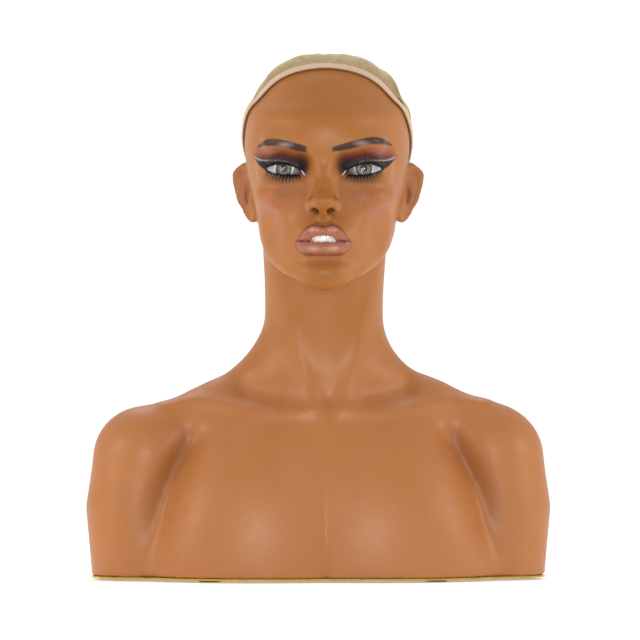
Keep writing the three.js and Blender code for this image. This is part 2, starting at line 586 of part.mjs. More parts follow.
function screw(x, y) {
  const [r, h] = [SCREW.shank / 2, SCREW.head / 2];
  const foot = trimBottom + 0.3;
  const outline = [[0, 0], [h - 0.6, 0], [h, 0.6], [h, SCREW.headHeight - 0.4], [r,
    SCREW.headHeight], [r, SCREW.length - 3], [0.4, SCREW.length], [0, SCREW.length]];
  return solid(new THREE.LatheGeometry([...outline, outline[0]].map(([a, b]) =>
    new THREE.Vector2(a, b)), 18), at(x, y, foot).multiply(
    new THREE.Matrix4().makeRotationX(Math.PI / 2)));
}
function bore(x, y, diameter, bottom, top) {
  return solid(new THREE.CylinderGeometry(diameter / 2, diameter / 2, top - bottom, 20),
    at(x, y, (top + bottom) / 2).multiply(new THREE.Matrix4().makeRotationX(Math.PI / 2)));
}
let board = baseBoard();
const cavity = solid(torsoSurface(-SHELL_WALL - 0.9, shellBottom, 10));
for (const [name, x, y] of screwSpots) {
  board = board.subtract(bore(x, y, SCREW.shank + 2 * GAP, 0, boardTop + 1))
    .subtract(bore(x, y, SCREW.head + 2 * GAP, 0, trimBottom + headSink));
  add(`base_screw_${name}`, screw(x, y), "#b9bcc0", 0.35);
}
for (const [name, x, y] of blockSpots) {
  const [, sx, sy] = screwSpots.find(([n]) => n === name);
  const top = trimBottom + SCREW.length + 4;
  const block = solid(new THREE.BoxGeometry(BLOCK_SIZE.x, BLOCK_SIZE.y, BLOCK_SIZE.z),
    at(x, y, boardTop + GAP + BLOCK_SIZE.z / 2));
  add(`fixing_block_${name}`, block.intersect(cavity)
    .subtract(bore(sx, sy, SCREW.shank + 2 * GAP, 0, top)), "#c79a63", 0.8);
}
add("base_board", board, "#b98d5c", 0.8);
add("edge_trim", edgeTrim(), "#d9b32c", 0.3);
const padSpots = [["front_left", -104, -46], ["front_right", 104, -46], ["rear_left", -96, 66],
  ["rear_right", 96, 66]];
for (const [name, x, y] of padSpots) {
  add(`pad_${name}`, bore((x + TRUNK_SIDE) * torsoScale, y * torsoScale, PAD_DIAMETER, 0,
    PAD_HEIGHT), "#2a2a2a", 0.9);
}

// ---------------------------------------------------------------- origin: bottom centre
const box = new THREE.Box3().setFromObject(assembly);
const shift = at(-(box.min.x + box.max.x) / 2, -(box.min.y + box.max.y) / 2, -box.min.z);
for (const mesh of assembly.children) mesh.geometry.applyMatrix4(shift);

export default assembly;
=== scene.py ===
"""Mannequin training head: a hollow PVC bust with inset eyes, strip lashes, teeth, a pull-on net
wig cap, an edged and boarded base, and a studio to look at it in."""

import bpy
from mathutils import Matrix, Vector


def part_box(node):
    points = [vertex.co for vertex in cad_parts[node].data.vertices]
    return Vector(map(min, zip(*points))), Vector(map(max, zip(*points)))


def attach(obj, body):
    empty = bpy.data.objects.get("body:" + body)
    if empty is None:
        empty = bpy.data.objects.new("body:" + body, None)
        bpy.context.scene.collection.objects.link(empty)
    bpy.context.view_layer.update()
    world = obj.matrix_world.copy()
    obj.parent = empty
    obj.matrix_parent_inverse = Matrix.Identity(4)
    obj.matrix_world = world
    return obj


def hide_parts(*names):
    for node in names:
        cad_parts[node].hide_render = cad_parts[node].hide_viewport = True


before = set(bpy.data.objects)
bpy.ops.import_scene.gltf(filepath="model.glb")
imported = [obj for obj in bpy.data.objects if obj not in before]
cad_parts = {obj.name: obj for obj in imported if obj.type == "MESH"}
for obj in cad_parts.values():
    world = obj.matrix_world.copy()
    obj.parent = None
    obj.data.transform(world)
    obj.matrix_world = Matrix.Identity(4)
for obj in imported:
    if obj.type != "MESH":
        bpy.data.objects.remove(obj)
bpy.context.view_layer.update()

import logging
import math
import random
from dataclasses import dataclass
from enum import Enum
from typing import Any, Callable, Sequence

import bmesh
import bpy
import numpy as np
import openvdb
from mathutils import Vector

LOG = logging.getLogger("training_head")
MM = 0.001
BUST, WIG_CAP = "bust", "wig_cap"
Coords = tuple[np.ndarray, np.ndarray, np.ndarray]
Field = Callable[[Any, Any, Any], np.ndarray]
Knots = Sequence[tuple[float, float]]


# ------------------------------------------------------------------ form language
def blend(a: np.ndarray, b: np.ndarray, k: float) -> np.ndarray:
    """Union of two distance fields with a fillet of radius about k."""
    h = np.clip(0.5 + 0.5 * (b - a) / k, 0, 1)
    return b + (a - b) * h - k * h * (1 - h)


def carve(a: np.ndarray, b: np.ndarray, k: float) -> np.ndarray:
    """Intersection of two distance fields with a fillet of radius about k."""
    return -blend(-a, -b, k)


def ellipsoid(p: Coords, centre: Sequence[float], radii: Sequence[float]) -> np.ndarray:
    """Distance to an ellipsoid, near enough for blending."""
    q = [(p[i] - centre[i]) / radii[i] for i in range(3)]
    near = np.sqrt(q[0] ** 2 + q[1] ** 2 + q[2] ** 2)
    steep = np.sqrt(sum((q[i] / radii[i]) ** 2 for i in range(3))) + 1e-9
    return near * (near - 1) / steep


def capsule(p: Coords, a: Sequence[float], b: Sequence[float], ra: float, rb: float) -> np.ndarray:
    """Distance to a tapered rod with round ends, from a to b."""
    ab = [b[i] - a[i] for i in range(3)]
    t = sum((p[i] - a[i]) * ab[i] for i in range(3)) / sum(v * v for v in ab)
    t = np.clip(t, 0, 1)
    gap = np.sqrt(sum((p[i] - a[i] - t * ab[i]) ** 2 for i in range(3)))
    return gap - (ra + (rb - ra) * t)


def profile(h: np.ndarray, stations: Knots) -> np.ndarray:
    """Smooth curve through (height, value) stations, held flat beyond its ends."""
    at = np.array([s[0] for s in stations], float)
    value = np.array([s[1] for s in stations], float)
    slope = np.gradient(value, at)
    h = np.clip(h, at[0], at[-1])
    i = np.clip(np.searchsorted(at, h) - 1, 0, len(at) - 2)
    span = at[i + 1] - at[i]
    t = (h - at[i]) / span
    return (
        (2 * t**3 - 3 * t**2 + 1) * value[i] + (t**3 - 2 * t**2 + t) * span * slope[i]
        + (3 * t**2 - 2 * t**3) * value[i + 1] + (t**3 - t**2) * span * slope[i + 1]
    )


def ramp(v: np.ndarray, a: float, b: float) -> np.ndarray:
    """Smooth step from 0 at a to 1 at b."""
    t = np.clip((v - a) / (b - a), 0, 1)
    return t * t * (3 - 2 * t)


def stroke(u: np.ndarray, v: np.ndarray, line: Knots, width: float) -> np.ndarray:
    """Soft ridge, 1 along a line drawn on the front of the body and fading over its width."""
    near = np.full(np.broadcast(u, v).shape, 1e9)
    for (ax, az), (bx, bz) in zip(line, line[1:]):
        dx, dz = bx - ax, bz - az
        t = np.clip(((u - ax) * dx + (v - az) * dz) / (dx * dx + dz * dz), 0, 1)
        near = np.minimum(near, (u - ax - t * dx) ** 2 + (v - az - t * dz) ** 2)
    return np.exp(-near / (width * width))


# ------------------------------------------------------------------ sculpted forms, millimetres
@dataclass(frozen=True)
class LidLine:
    """Edges of the parted lids, seen from the front, over the distance from the nose."""

    inner: float = 19.4
    outer: float = 53.6
    inner_height: float = 373.8
    rise: float = 3.9
    upper_arch: float = 6.3
    lower_arch: float = 3.0

    def along(self, ax: np.ndarray) -> np.ndarray:
        """Place along the lid, 0 at the inner corner and 1 at the outer."""
        return np.clip((ax - self.inner) / (self.outer - self.inner), 0, 1)

    def upper(self, t: np.ndarray) -> np.ndarray:
        """Height of the upper lid's edge."""
        bow = np.clip(np.sin(np.pi * t**0.92), 0, 1) ** 0.72
        return self.inner_height + self.rise * t + self.upper_arch * bow

    def lower(self, t: np.ndarray) -> np.ndarray:
        """Height of the lower lid's edge."""
        bow = np.clip(np.sin(np.pi * t**1.15), 0, 1) ** 0.8
        return self.inner_height + self.rise * t - self.lower_arch * bow

    def across(self, t: float) -> float:
        """Distance from the nose at a place along the lid."""
        return self.inner + (self.outer - self.inner) * t


@dataclass(frozen=True)
class HeadForm:
    """The head in its own sculpting frame: face towards -Y, crown up."""

    eye: tuple[float, float, float] = (36.5, -54.0, 378.5)
    eye_radius: float = 24.0
    lid: float = 1.9
    lids: LidLine = LidLine()
    widths: tuple = (
        (258, 30), (268, 42), (276, 48.5), (287, 54.5), (297, 57.8), (311, 60.5),
        (333, 63.8), (355, 66), (380, 68), (400, 68), (430, 65.5),
    )
    fronts: tuple = (
        (258, 80), (270, 86), (284, 90), (296, 86.5), (313, 90), (332, 88), (345, 85),
        (362, 83), (380, 84.5), (400, 91), (415, 91.5), (435, 86),
    )

    def skull(self, p: Coords) -> np.ndarray:
        """The round of the scalp."""
        x, y, z = p
        crown = ellipsoid((np.abs(x), y, z), (22, 8, 412), (47, 74, 66))
        return blend(ellipsoid(p, (0, 1, 402), (69.5, 92, 80)), crown, 14)

    def mask(self, p: Coords) -> np.ndarray:
        """The face's block, from brow to jaw."""
        x, y, z = p
        wide, front = profile(z, self.widths), profile(z, self.fronts)
        depth = np.where(y < 0, -y / front, y / 62)
        round_ = ((np.abs(x) / wide) ** 2.35 + depth**2.35) ** (1 / 2.35) - 1
        jaw = (268 + 0.46 * (y + 84) - z) / 1.1
        return carve(carve(round_ * np.minimum(wide, front), jaw, 14), z - 428, 10)

    def nose(self, p: Coords, q: Coords) -> np.ndarray:
        """Bridge, tip, wings and the strip between the nostrils."""
        d = capsule(p, (0, -80, 392), (0, -91, 374), 7.2, 5.0)
        d = blend(d, capsule(p, (0, -91, 374), (0, -104, 352), 5.0, 6.4), 5)
        d = blend(d, capsule(p, (0, -74, 390), (0, -89, 354), 7.0, 10.0), 6)
        d = blend(d, ellipsoid(p, (0, -106.5, 348.4), (8.8, 8.6, 7.6)), 5)
        d = blend(d, ellipsoid(q, (3.8, -108, 347.4), (5, 6.2, 5.2)), 3)
        d = blend(d, ellipsoid(q, (11.8, -96.2, 344.6), (5.0, 8.8, 6.6)), 6.5)
        return blend(d, capsule(p, (0, -105.5, 342.5), (0, -92, 335.5), 3.2, 4.0), 3.5)

    def lips(self, q: Coords) -> np.ndarray:
        """Full lips, bowed above and flat below, on the mirrored half."""
        upper = capsule(q, (5.6, -95.6, 321.6), (13.6, -92.6, 318.4), 6.2, 5.6)
        upper = blend(upper, capsule(q, (13.6, -92.6, 318.4), (24.6, -82.8, 311.0), 5.6, 1.9), 3)
        upper = blend(upper, capsule(q, (0, -96.2, 320.4), (5.6, -95.6, 321.6), 5.4, 6.2), 2)
        lower = capsule(q, (0, -94.0, 305.2), (14.0, -90.8, 305.4), 6.6, 6.2)
        lower = blend(lower, capsule(q, (14.0, -90.8, 305.4), (24.4, -82.4, 309.2), 6.2, 1.9), 3)
        return blend(upper, lower, 0.9)

    def ear(self, q: Coords) -> np.ndarray:
        """Outer ear: plate, rolled rim, inner fold, tragus and lobe."""
        u, v, w = self.ear_frame(q)
        half = profile(v, ((-28, 6.5), (-24, 9.4), (-15, 11.4), (0, 13.2), (12, 14.2), (20, 13.6), (26, 8)))
        middle = profile(v, ((-28, 4), (-15, 8), (0, 12), (12, 13.5), (26, 10)))
        over = np.clip(np.abs(v / 26) - 0.55, 0, 1) / 0.45
        edge = ((np.abs((u - middle) / half) ** 2.5 + over**2.5) ** 0.4 - 1) * 11
        bowl = w - 1.5 - 0.011 * (u - middle) ** 2
        d = carve(edge, np.abs(bowl) - 1.7, 1.5)
        roll = np.sqrt((edge + 2.2) ** 2 + (bowl - 1.4) ** 2) - (2.5 * ramp(v, -17, -8) + 0.8)
        fold = np.sqrt(((u - middle + 2.5) / (half * 0.62)) ** 2 + ((v - 1) / 15) ** 2) - 1
        fold = np.where(u > middle - 6, np.sqrt((fold * 8) ** 2 + (bowl - 1) ** 2) - 2, 40)
        tragus = np.sqrt((u - 2.5) ** 2 + ((v + 3.5) / 1.7) ** 2 + ((w - 4) / 1.2) ** 2) - 2.6
        lobe = np.sqrt(((u - 6.5) / 7) ** 2 + ((v + 21) / 6.5) ** 2 + ((w - 1.6) / 3) ** 2) - 1
        d = blend(blend(blend(blend(d, roll, 2), fold, 1.6), tragus, 2), lobe * 3.5, 2.5)
        x, y, z = q
        root = np.sqrt(((x - 64.5) / 9) ** 2 + ((y - 8) / 7) ** 2 + ((z - 358) / 17) ** 2) - 1
        return blend(d, root * 7, 5)

    @staticmethod
    def ear_frame(q: Coords) -> Coords:
        """Backwards, upwards and outwards on the flared, leaning ear."""
        flare, lean = math.radians(31), math.radians(9)
        dx, dy, dz = q[0] - 66.5, q[1] - 3.0, q[2] - 357.0
        back = dx * math.sin(flare) + dy * math.cos(flare) - dz * math.sin(lean)
        return back, dz * math.cos(lean), dx * math.cos(flare) - dy * math.sin(flare)

    def ear_hollows(self, q: Coords) -> np.ndarray:
        """The bowl of the ear and the pierced hole in its lobe."""
        u, v, w = self.ear_frame(q)
        bowl = np.sqrt(((u - 8) / 6.2) ** 2 + ((v + 0.5) / 9.5) ** 2 + ((w - 4.6) / 4.4) ** 2) - 1
        hole = np.sqrt((u - 6.5) ** 2 + (v + 20.5) ** 2) - 1.0
        return np.minimum(bowl * 5.5, np.where(w > -2, hole, 40))

    def eyelids(self, d: np.ndarray, q: Coords) -> np.ndarray:
        """Parts the lids over the eyeball's pocket and presses the crease above them."""
        ax, y, z = q
        lids = self.lids
        t = lids.along(ax)
        upper, lower = lids.upper(t), lids.lower(t)
        slot = np.abs(z - (upper + lower) / 2) - (upper - lower) / 2
        slot = np.where((ax > lids.inner) & (ax < lids.outer), slot, 2)
        slot = carve(slot, -np.minimum(ax - lids.inner, lids.outer - ax) * 0.5, 1)
        d = carve(d, -np.maximum(slot, y - self.eye[1] - 4), 1.2)
        ball = np.sqrt(sum((q[i] - self.eye[i]) ** 2 for i in range(3)))
        d = np.maximum(d, self.eye_radius + 0.15 - ball)
        crease = np.exp(-(((z - upper - 7 + 2 * (2 * t - 1) ** 2) / 1.8) ** 2))
        return d + 0.9 * crease * ramp(ax, 17, 24) * (1 - ramp(ax, 44, 53)) * ramp(-y, 40, 55)

    def __call__(self, p: Coords) -> np.ndarray:
        """Distance to the whole head."""
        x, y, z = p
        q = (np.abs(x), y, z)
        d = blend(self.skull(p), self.mask(p), 22)
        d = blend(d, ellipsoid(q, (44, -52, 351), (18, 24, 14)), 14)
        d = blend(d, ellipsoid(p, (0, -80, 283), (19, 15, 14)), 12)
        d = blend(d, ellipsoid(q, (27, -76, 402), (26, 13, 9)), 12)
        d = carve(d, -ellipsoid(q, (58, -72, 322), (14, 26, 20)), 16)
        d = carve(d, -ellipsoid(q, (35, -101, 380), (23, 22, 13.5)), 10)
        d = carve(d, -ellipsoid(q, (19, -94, 379), (9, 10, 9)), 9)
        ball = np.sqrt(sum((q[i] - self.eye[i]) ** 2 for i in range(3)))
        d = blend(d, ball - self.eye_radius - self.lid, 4)
        d = blend(d, self.nose(p, q), 6.5)
        nostril = capsule(q, (6.4, -103.5, 340.2), (9.4, -97, 339.2), 1.9, 2.4)
        d = carve(d, -nostril, 1.8)
        d = blend(d, ellipsoid(p, (0, -78, 315), (27, 19, 20)), 10)
        d = carve(d, -capsule(p, (0, -102.8, 333), (0, -104.5, 328.5), 2.6, 3.0), 3.5)
        d = blend(d, self.lips(q), 2.4)
        d = carve(d, -ellipsoid(p, (0, -103, 314.2), (10.9, 22, 3.0)), 1.0)
        arch = y - 0.0115 * x**2
        recess = np.maximum(np.maximum(q[0] - 13.5, np.abs(z - 314) - 4.7), np.abs(arch + 94.6) - 2.1)
        d = np.maximum(d, -recess)
        d = carve(d, -capsule(q, (9, -101.6, 313.4), (24.8, -86.2, 310.2), 1.1, 0.7), 1.0)
        d = carve(d, -capsule(q, (0, -98.5, 294.6), (12, -96.0, 295.4), 3.2, 2.6), 7)
        d = self.eyelids(d, q)
        d = blend(d, self.ear(q), 2.5)
        return carve(d, -self.ear_hollows(q), 1.2)


@dataclass(frozen=True)
class TrunkForm:
    """Neck, shoulders, arm stumps and chest."""

    neck_widths: tuple = (
        (150, 63), (190, 59), (215, 56), (245, 54.4), (270, 54.4), (300, 55), (330, 56),
    )
    neck_depths: tuple = ((150, 58), (190, 54), (230, 51), (270, 51), (300, 54), (330, 58))
    side: float = -5.0
    neck_axis: tuple = ((150, 34), (190, 28), (230, 20), (270, 15), (300, 12), (330, 12))

    def neck(self, p: Coords) -> np.ndarray:
        """The neck, leaning forward as it rises."""
        x, y, z = p
        wide, deep = profile(z, self.neck_widths), profile(z, self.neck_depths)
        d = np.sqrt((x / wide) ** 2 + ((y - profile(z, self.neck_axis)) / deep) ** 2) - 1
        return carve(carve(d * np.minimum(wide, deep), z - 338, 10), 140 - z, 10)

    def torso(self, p: Coords) -> np.ndarray:
        """Arm stumps, shoulder bridges, rib cage and chest."""
        x, y, z = p
        x = x - self.side
        z = z - 6.5 * np.exp(-(((x - 122) / 48) ** 2)) * ramp(z, 95, 150)
        p = (x, y, z)
        q = (np.abs(x), y, z)
        stump = (q[0], (y - 16) * 0.95, z)
        d = np.minimum(
            capsule(stump, (161, 0, -30), (169.5, 0, 66), 45, 45),
            capsule(stump, (169.5, 0, 66), (162.5, 0, 112), 45, 45),
        )
        d = blend(d, capsule(q, (158, 18, 115), (92, 26, 142), 41, 37), 14)
        d = blend(d, capsule(q, (92, 26, 142), (36, 30, 180), 37, 34), 14)
        d = blend(d, ellipsoid(p, (0, 6, 40), (154, 74, 142)), 22)
        d = blend(d, ellipsoid(q, (62, 52, 60), (74, 46, 104)), 24)
        return blend(d, ellipsoid(q, (55, -20, 20), (102, 70, 122)), 20)

    def __call__(self, p: Coords) -> np.ndarray:
        """Distance to the trunk, with collar bones, throat notch and neck cords."""
        x, y, z = p
        ax = np.abs(x)
        d = blend(self.torso(p), self.neck(p), 34)
        collar = stroke(ax, z, ((12, 157), (40, 155), (80, 160), (118, 166), (150, 164)), 6.5)
        notch = stroke(x, z, ((-4, 166), (4, 166)), 10)
        pit = stroke(ax, z, ((40, 171), (72, 174)), 13)
        cord = stroke(ax, z, ((52, 300), (40, 250), (25, 200), (13, 166)), 8)
        front = 1 - ramp(y, -5, 35)
        armpit = ((121, 128), (131, 105), (141, 75), (150, 30), (152, -20))
        groove = 7 * stroke(np.abs(x - self.side), z, armpit, 14) * (1 - ramp(y, 10, 50)) * ramp(z, 6, 60)
        return d - front * (3.2 * collar - 4 * notch - 5.5 * pit + 3 * cord) + groove


@dataclass(frozen=True)
class BustForm:
    """Head and trunk joined, and the way from sculpting millimetres to the frame's metres."""

    head: HeadForm = HeadForm()
    trunk: TrunkForm = TrunkForm()
    turn: float = math.radians(-6)
    aside: float = 3.2
    pivot: float = 14.0
    shift: tuple[float, float] = (0.0, 0.0)
    bottom: float = 4.0
    wall: float = 3.5

    def to_head(self, p: Coords) -> Coords:
        """Sculpting point to the head's own frame."""
        x, y, z = p[0] - self.aside, p[1] - self.pivot, p[2]
        c, s = math.cos(-self.turn), math.sin(-self.turn)
        return c * x - s * y, s * x + c * y + self.pivot, z

    def from_head(self, p: Sequence[Any]) -> Coords:
        """The head's own frame to a sculpting point."""
        x, y, z = p
        c, s = math.cos(self.turn), math.sin(self.turn)
        y = y - self.pivot
        return c * x - s * y + self.aside, s * x + c * y + self.pivot, z

    def body(self, x: Any, y: Any, z: Any) -> np.ndarray:
        """Distance to the whole body, without its cut base."""
        return blend(self.trunk((x, y, z)), self.head(self.to_head((x, y, z))), 9)

    def scalp(self, x: Any, y: Any, z: Any) -> np.ndarray:
        """The same distance, measured in the head's own frame and without ears."""
        p = (x, y, z)
        head = blend(self.head.skull(p), self.head.mask(p), 22)
        return blend(self.trunk(self.from_head(p)), head, 9)

    def place(self, points: np.ndarray, in_head: bool = False) -> np.ndarray:
        """Sculpting millimetres to metres in the row frame.

        Args:
            points: one point a row.
            in_head: True when the points are in the head's own frame.

        Returns:
            The points in metres.
        """
        columns = self.from_head(points.T) if in_head else points.T
        x, y, z = columns
        return np.stack([x + self.shift[0], y + self.shift[1], z], 1) * MM


# ------------------------------------------------------------------ meshes from forms
def stops(*runs: tuple[float, float], end: float) -> np.ndarray:
    """Grid places: each (start, spacing) runs up to the next start."""
    starts = [r[0] for r in runs] + [end]
    parts = [
        np.linspace(a, b, max(1, round((b - a) / step)), endpoint=False)
        for (a, step), b in zip(runs, starts[1:])
    ]
    return np.concatenate([*parts, [end]])


def contour(distance: Field, xs: np.ndarray, ys: np.ndarray, zs: np.ndarray) -> tuple:
    """Surface where a distance field is zero, on an uneven grid.

    Args:
        distance: the field.
        xs, ys, zs: the grid's planes along each axis.

    Returns:
        (points, quads) as arrays.
    """
    values = np.empty((len(xs), len(ys), len(zs)), np.float32)
    across, up = np.meshgrid(ys, zs, indexing="ij")
    for i in range(0, len(xs), 12):
        block = xs[i : i + 12][:, None, None]
        shape = (len(block), *across.shape)
        values[i : i + 12] = distance(
            *(np.broadcast_to(v, shape).astype(np.float32) for v in (block, across, up))
        )
    grid = openvdb.FloatGrid(background=50.0)
    grid.copyFromArray(values)
    raw, quads = grid.convertToQuads(isovalue=0.0)
    axes = (xs, ys, zs)
    points = np.stack([np.interp(raw[:, k], np.arange(len(a)), a) for k, a in enumerate(axes)], 1)
    return points, quads[:, ::-1]


def settle(distance: Field, points: np.ndarray, rounds: int = 2) -> np.ndarray:
    """Moves each point along the field's slope onto its surface."""
    for _ in range(rounds):
        x, y, z = points.T
        e = 0.15
        slope = np.stack([
            distance(x + e, y, z) - distance(x - e, y, z),
            distance(x, y + e, z) - distance(x, y - e, z),
            distance(x, y, z + e) - distance(x, y, z - e),
        ], 1) / (2 * e)
        steep = np.maximum((slope**2).sum(1), 0.05)
        points = points - np.clip(distance(x, y, z) / steep, -1, 1)[:, None] * slope
    return points


def reach(distance: Field, origin: np.ndarray, way: np.ndarray, far: float) -> np.ndarray:
    """How far along each ray the field's outermost surface lies."""
    count = 90
    hit = np.zeros(len(way))
    found = np.zeros(len(way), bool)
    for t in np.linspace(far, 0, count):
        inside = distance(*(origin + way * t).T) <= 0
        hit = np.where(inside & ~found, t, hit)
        found |= inside
    low, high = hit, hit + far / (count - 1)
    for _ in range(12):
        middle = (low + high) / 2
        outside = distance(*(origin + way * middle[:, None]).T) > 0
        low, high = np.where(outside, low, middle), np.where(outside, middle, high)
    return low


def finished_mesh(obj: bpy.types.Object) -> bpy.types.Mesh:
    """The mesh that the object's modifiers make; the modifiers are then removed."""
    graph = bpy.context.evaluated_depsgraph_get()
    mesh = bpy.data.meshes.new_from_object(obj.evaluated_get(graph))
    obj.modifiers.clear()
    return mesh


def mesh_object(name: str, points: np.ndarray, faces: Sequence, smooth: bool = True,
                edges: Sequence = ()) -> bpy.types.Object:
    """New object at the origin whose mesh holds these points in metres."""
    mesh = bpy.data.meshes.new(name)
    mesh.from_pydata([tuple(map(float, p)) for p in points], list(edges), [tuple(map(int, f)) for f in faces])
    mesh.validate()
    mesh.polygons.foreach_set("use_smooth", [smooth] * len(mesh.polygons))
    mesh.update()
    obj = bpy.data.objects.new(name, mesh)
    bpy.context.scene.collection.objects.link(obj)
    return obj


def lofted(name: str, rings: Sequence[np.ndarray], caps: bool = False, loop: bool = False,
           smooth: bool = True) -> bpy.types.Object:
    """Closed rings of points joined in order.

    Args:
        name: the new object's name.
        rings: arrays of points in metres, all of one length.
        caps: closes the first and last ring with a point at their middles.
        loop: joins the last ring to the first.
        smooth: shades the faces smooth.

    Returns:
        The new object.
    """
    n, count = len(rings[0]), len(rings)
    points = np.concatenate(rings)
    faces = []
    for j in range(count if loop else count - 1):
        a, b = j * n, ((j + 1) % count) * n
        faces += [(a + i, a + (i + 1) % n, b + (i + 1) % n, b + i) for i in range(n)]
    if caps:
        points = np.concatenate([points, [rings[0].mean(0), rings[-1].mean(0)]])
        low, high = len(points) - 2, len(points) - 1
        faces += [(low, (i + 1) % n, i) for i in range(n)]
        start = (count - 1) * n
        faces += [(high, start + i, start + (i + 1) % n) for i in range(n)]
    obj = mesh_object(name, points, faces, smooth)
    recalculate(obj)
    return obj


def recalculate(obj: bpy.types.Object) -> None:
    """Turns every face of a closed mesh outwards."""
    bm = bmesh.new()
    bm.from_mesh(obj.data)
    bmesh.ops.remove_doubles(bm, verts=bm.verts, dist=1e-7)
    bmesh.ops.recalc_face_normals(bm, faces=bm.faces)
    bm.to_mesh(obj.data)
    bm.free()


# ------------------------------------------------------------------ node trees
class Tree:
    """A node tree with short ways to add and join nodes."""

    def __init__(self, tree: bpy.types.NodeTree) -> None:
        """Wraps a tree."""
        self.tree = tree

    def add(self, kind: str, inputs: dict | None = None, **settings: Any) -> bpy.types.Node:
        """Adds a node.

        Args:
            kind: the node's type name.
            inputs: socket name or index to a value, a socket or a Signal.
            settings: the node's own properties.

        Returns:
            The node.
        """
        node = self.tree.nodes.new(kind)
        for key, value in settings.items():
            setattr(node, key, value)
        for key, value in (inputs or {}).items():
            if isinstance(value, Signal):
                value = value.socket
            if isinstance(value, bpy.types.NodeSocket):
                self.tree.links.new(value, node.inputs[key])
            else:
                node.inputs[key].default_value = value
        return node


class Signal:
    """A number that flows through a shader tree and is written as plain arithmetic."""

    def __init__(self, tree: Tree, socket: bpy.types.NodeSocket) -> None:
        """Wraps an output socket."""
        self.tree, self.socket = tree, socket

    def math(self, op: str, *others: Any, clamp: bool = False) -> "Signal":
        """This number and others through one Math node."""
        node = self.tree.add("ShaderNodeMath", {0: self, **{i + 1: o for i, o in enumerate(others)}},
                             operation=op, use_clamp=clamp)
        return Signal(self.tree, node.outputs[0])

    def __add__(self, other: Any) -> "Signal":
        """Sum."""
        return self.math("ADD", other)

    def __sub__(self, other: Any) -> "Signal":
        """Difference."""
        return self.math("SUBTRACT", other)

    def __rsub__(self, other: Any) -> "Signal":
        """Difference from a plain number."""
        return (self * -1.0) + other

    def __mul__(self, other: Any) -> "Signal":
        """Product."""
        return self.math("MULTIPLY", other)

    def __truediv__(self, other: Any) -> "Signal":
        """Quotient."""
        return self.math("DIVIDE", other)

    __radd__, __rmul__ = __add__, __mul__

    def size(self) -> "Signal":
        """Absolute value."""
        return self.math("ABSOLUTE")

    def least(self, other: Any) -> "Signal":
        """Smaller of two."""
        return self.math("MINIMUM", other)

    def most(self, other: Any) -> "Signal":
        """Larger of two."""
        return self.math("MAXIMUM", other)

    def ramp(self, a: float, b: float, low: float = 0.0, high: float = 1.0) -> "Signal":
        """Smooth step from low at a to high at b."""
        if a > b:
            a, b, low, high = b, a, high, low
        node = self.tree.add("ShaderNodeMapRange", {0: self, 1: a, 2: b, 3: low, 4: high},
                             interpolation_type="SMOOTHSTEP")
        return Signal(self.tree, node.outputs[0])

    def curve(self, knots: Knots) -> "Signal":
        """Value of a smooth curve through (input, output) knots, held beyond its ends."""
        xs, ys = [k[0] for k in knots], [k[1] for k in knots]
        x0, x1, y0 = min(xs), max(xs), min(ys)
        span = max(max(ys) - y0, 1e-6)
        at = self.tree.add("ShaderNodeMapRange", {0: self, 1: x0, 2: x1, 3: 0.0, 4: 1.0})
        node = self.tree.add("ShaderNodeFloatCurve", {1: at.outputs[0]})
        points = node.mapping.curves[0].points
        while len(points) > 2:
            points.remove(points[-1])
        rows = [((x - x0) / (x1 - x0), (y - y0) / span) for x, y in knots]
        points[0].location, points[1].location = rows[0], rows[-1]
        for row in rows[1:-1]:
            points.new(*row)
        node.mapping.update()
        return Signal(self.tree, node.outputs[0]) * span + y0


def spot(u: Signal, v: Signal, centre: tuple[float, float], radii: tuple[float, float]) -> Signal:
    """Soft round patch, 1 in its middle and 0 at its radii."""
    a, b = (u - centre[0]) / radii[0], (v - centre[1]) / radii[1]
    return (a * a + b * b).math("SQRT").ramp(1.0, 0.0)


def linear(code: str) -> tuple[float, float, float, float]:
    """sRGB hex colour to linear RGBA."""
    parts = [int(code.lstrip("#")[i : i + 2], 16) / 255 for i in (0, 2, 4)]
    return (*(c / 12.92 if c <= 0.04045 else ((c + 0.055) / 1.055) ** 2.4 for c in parts), 1.0)


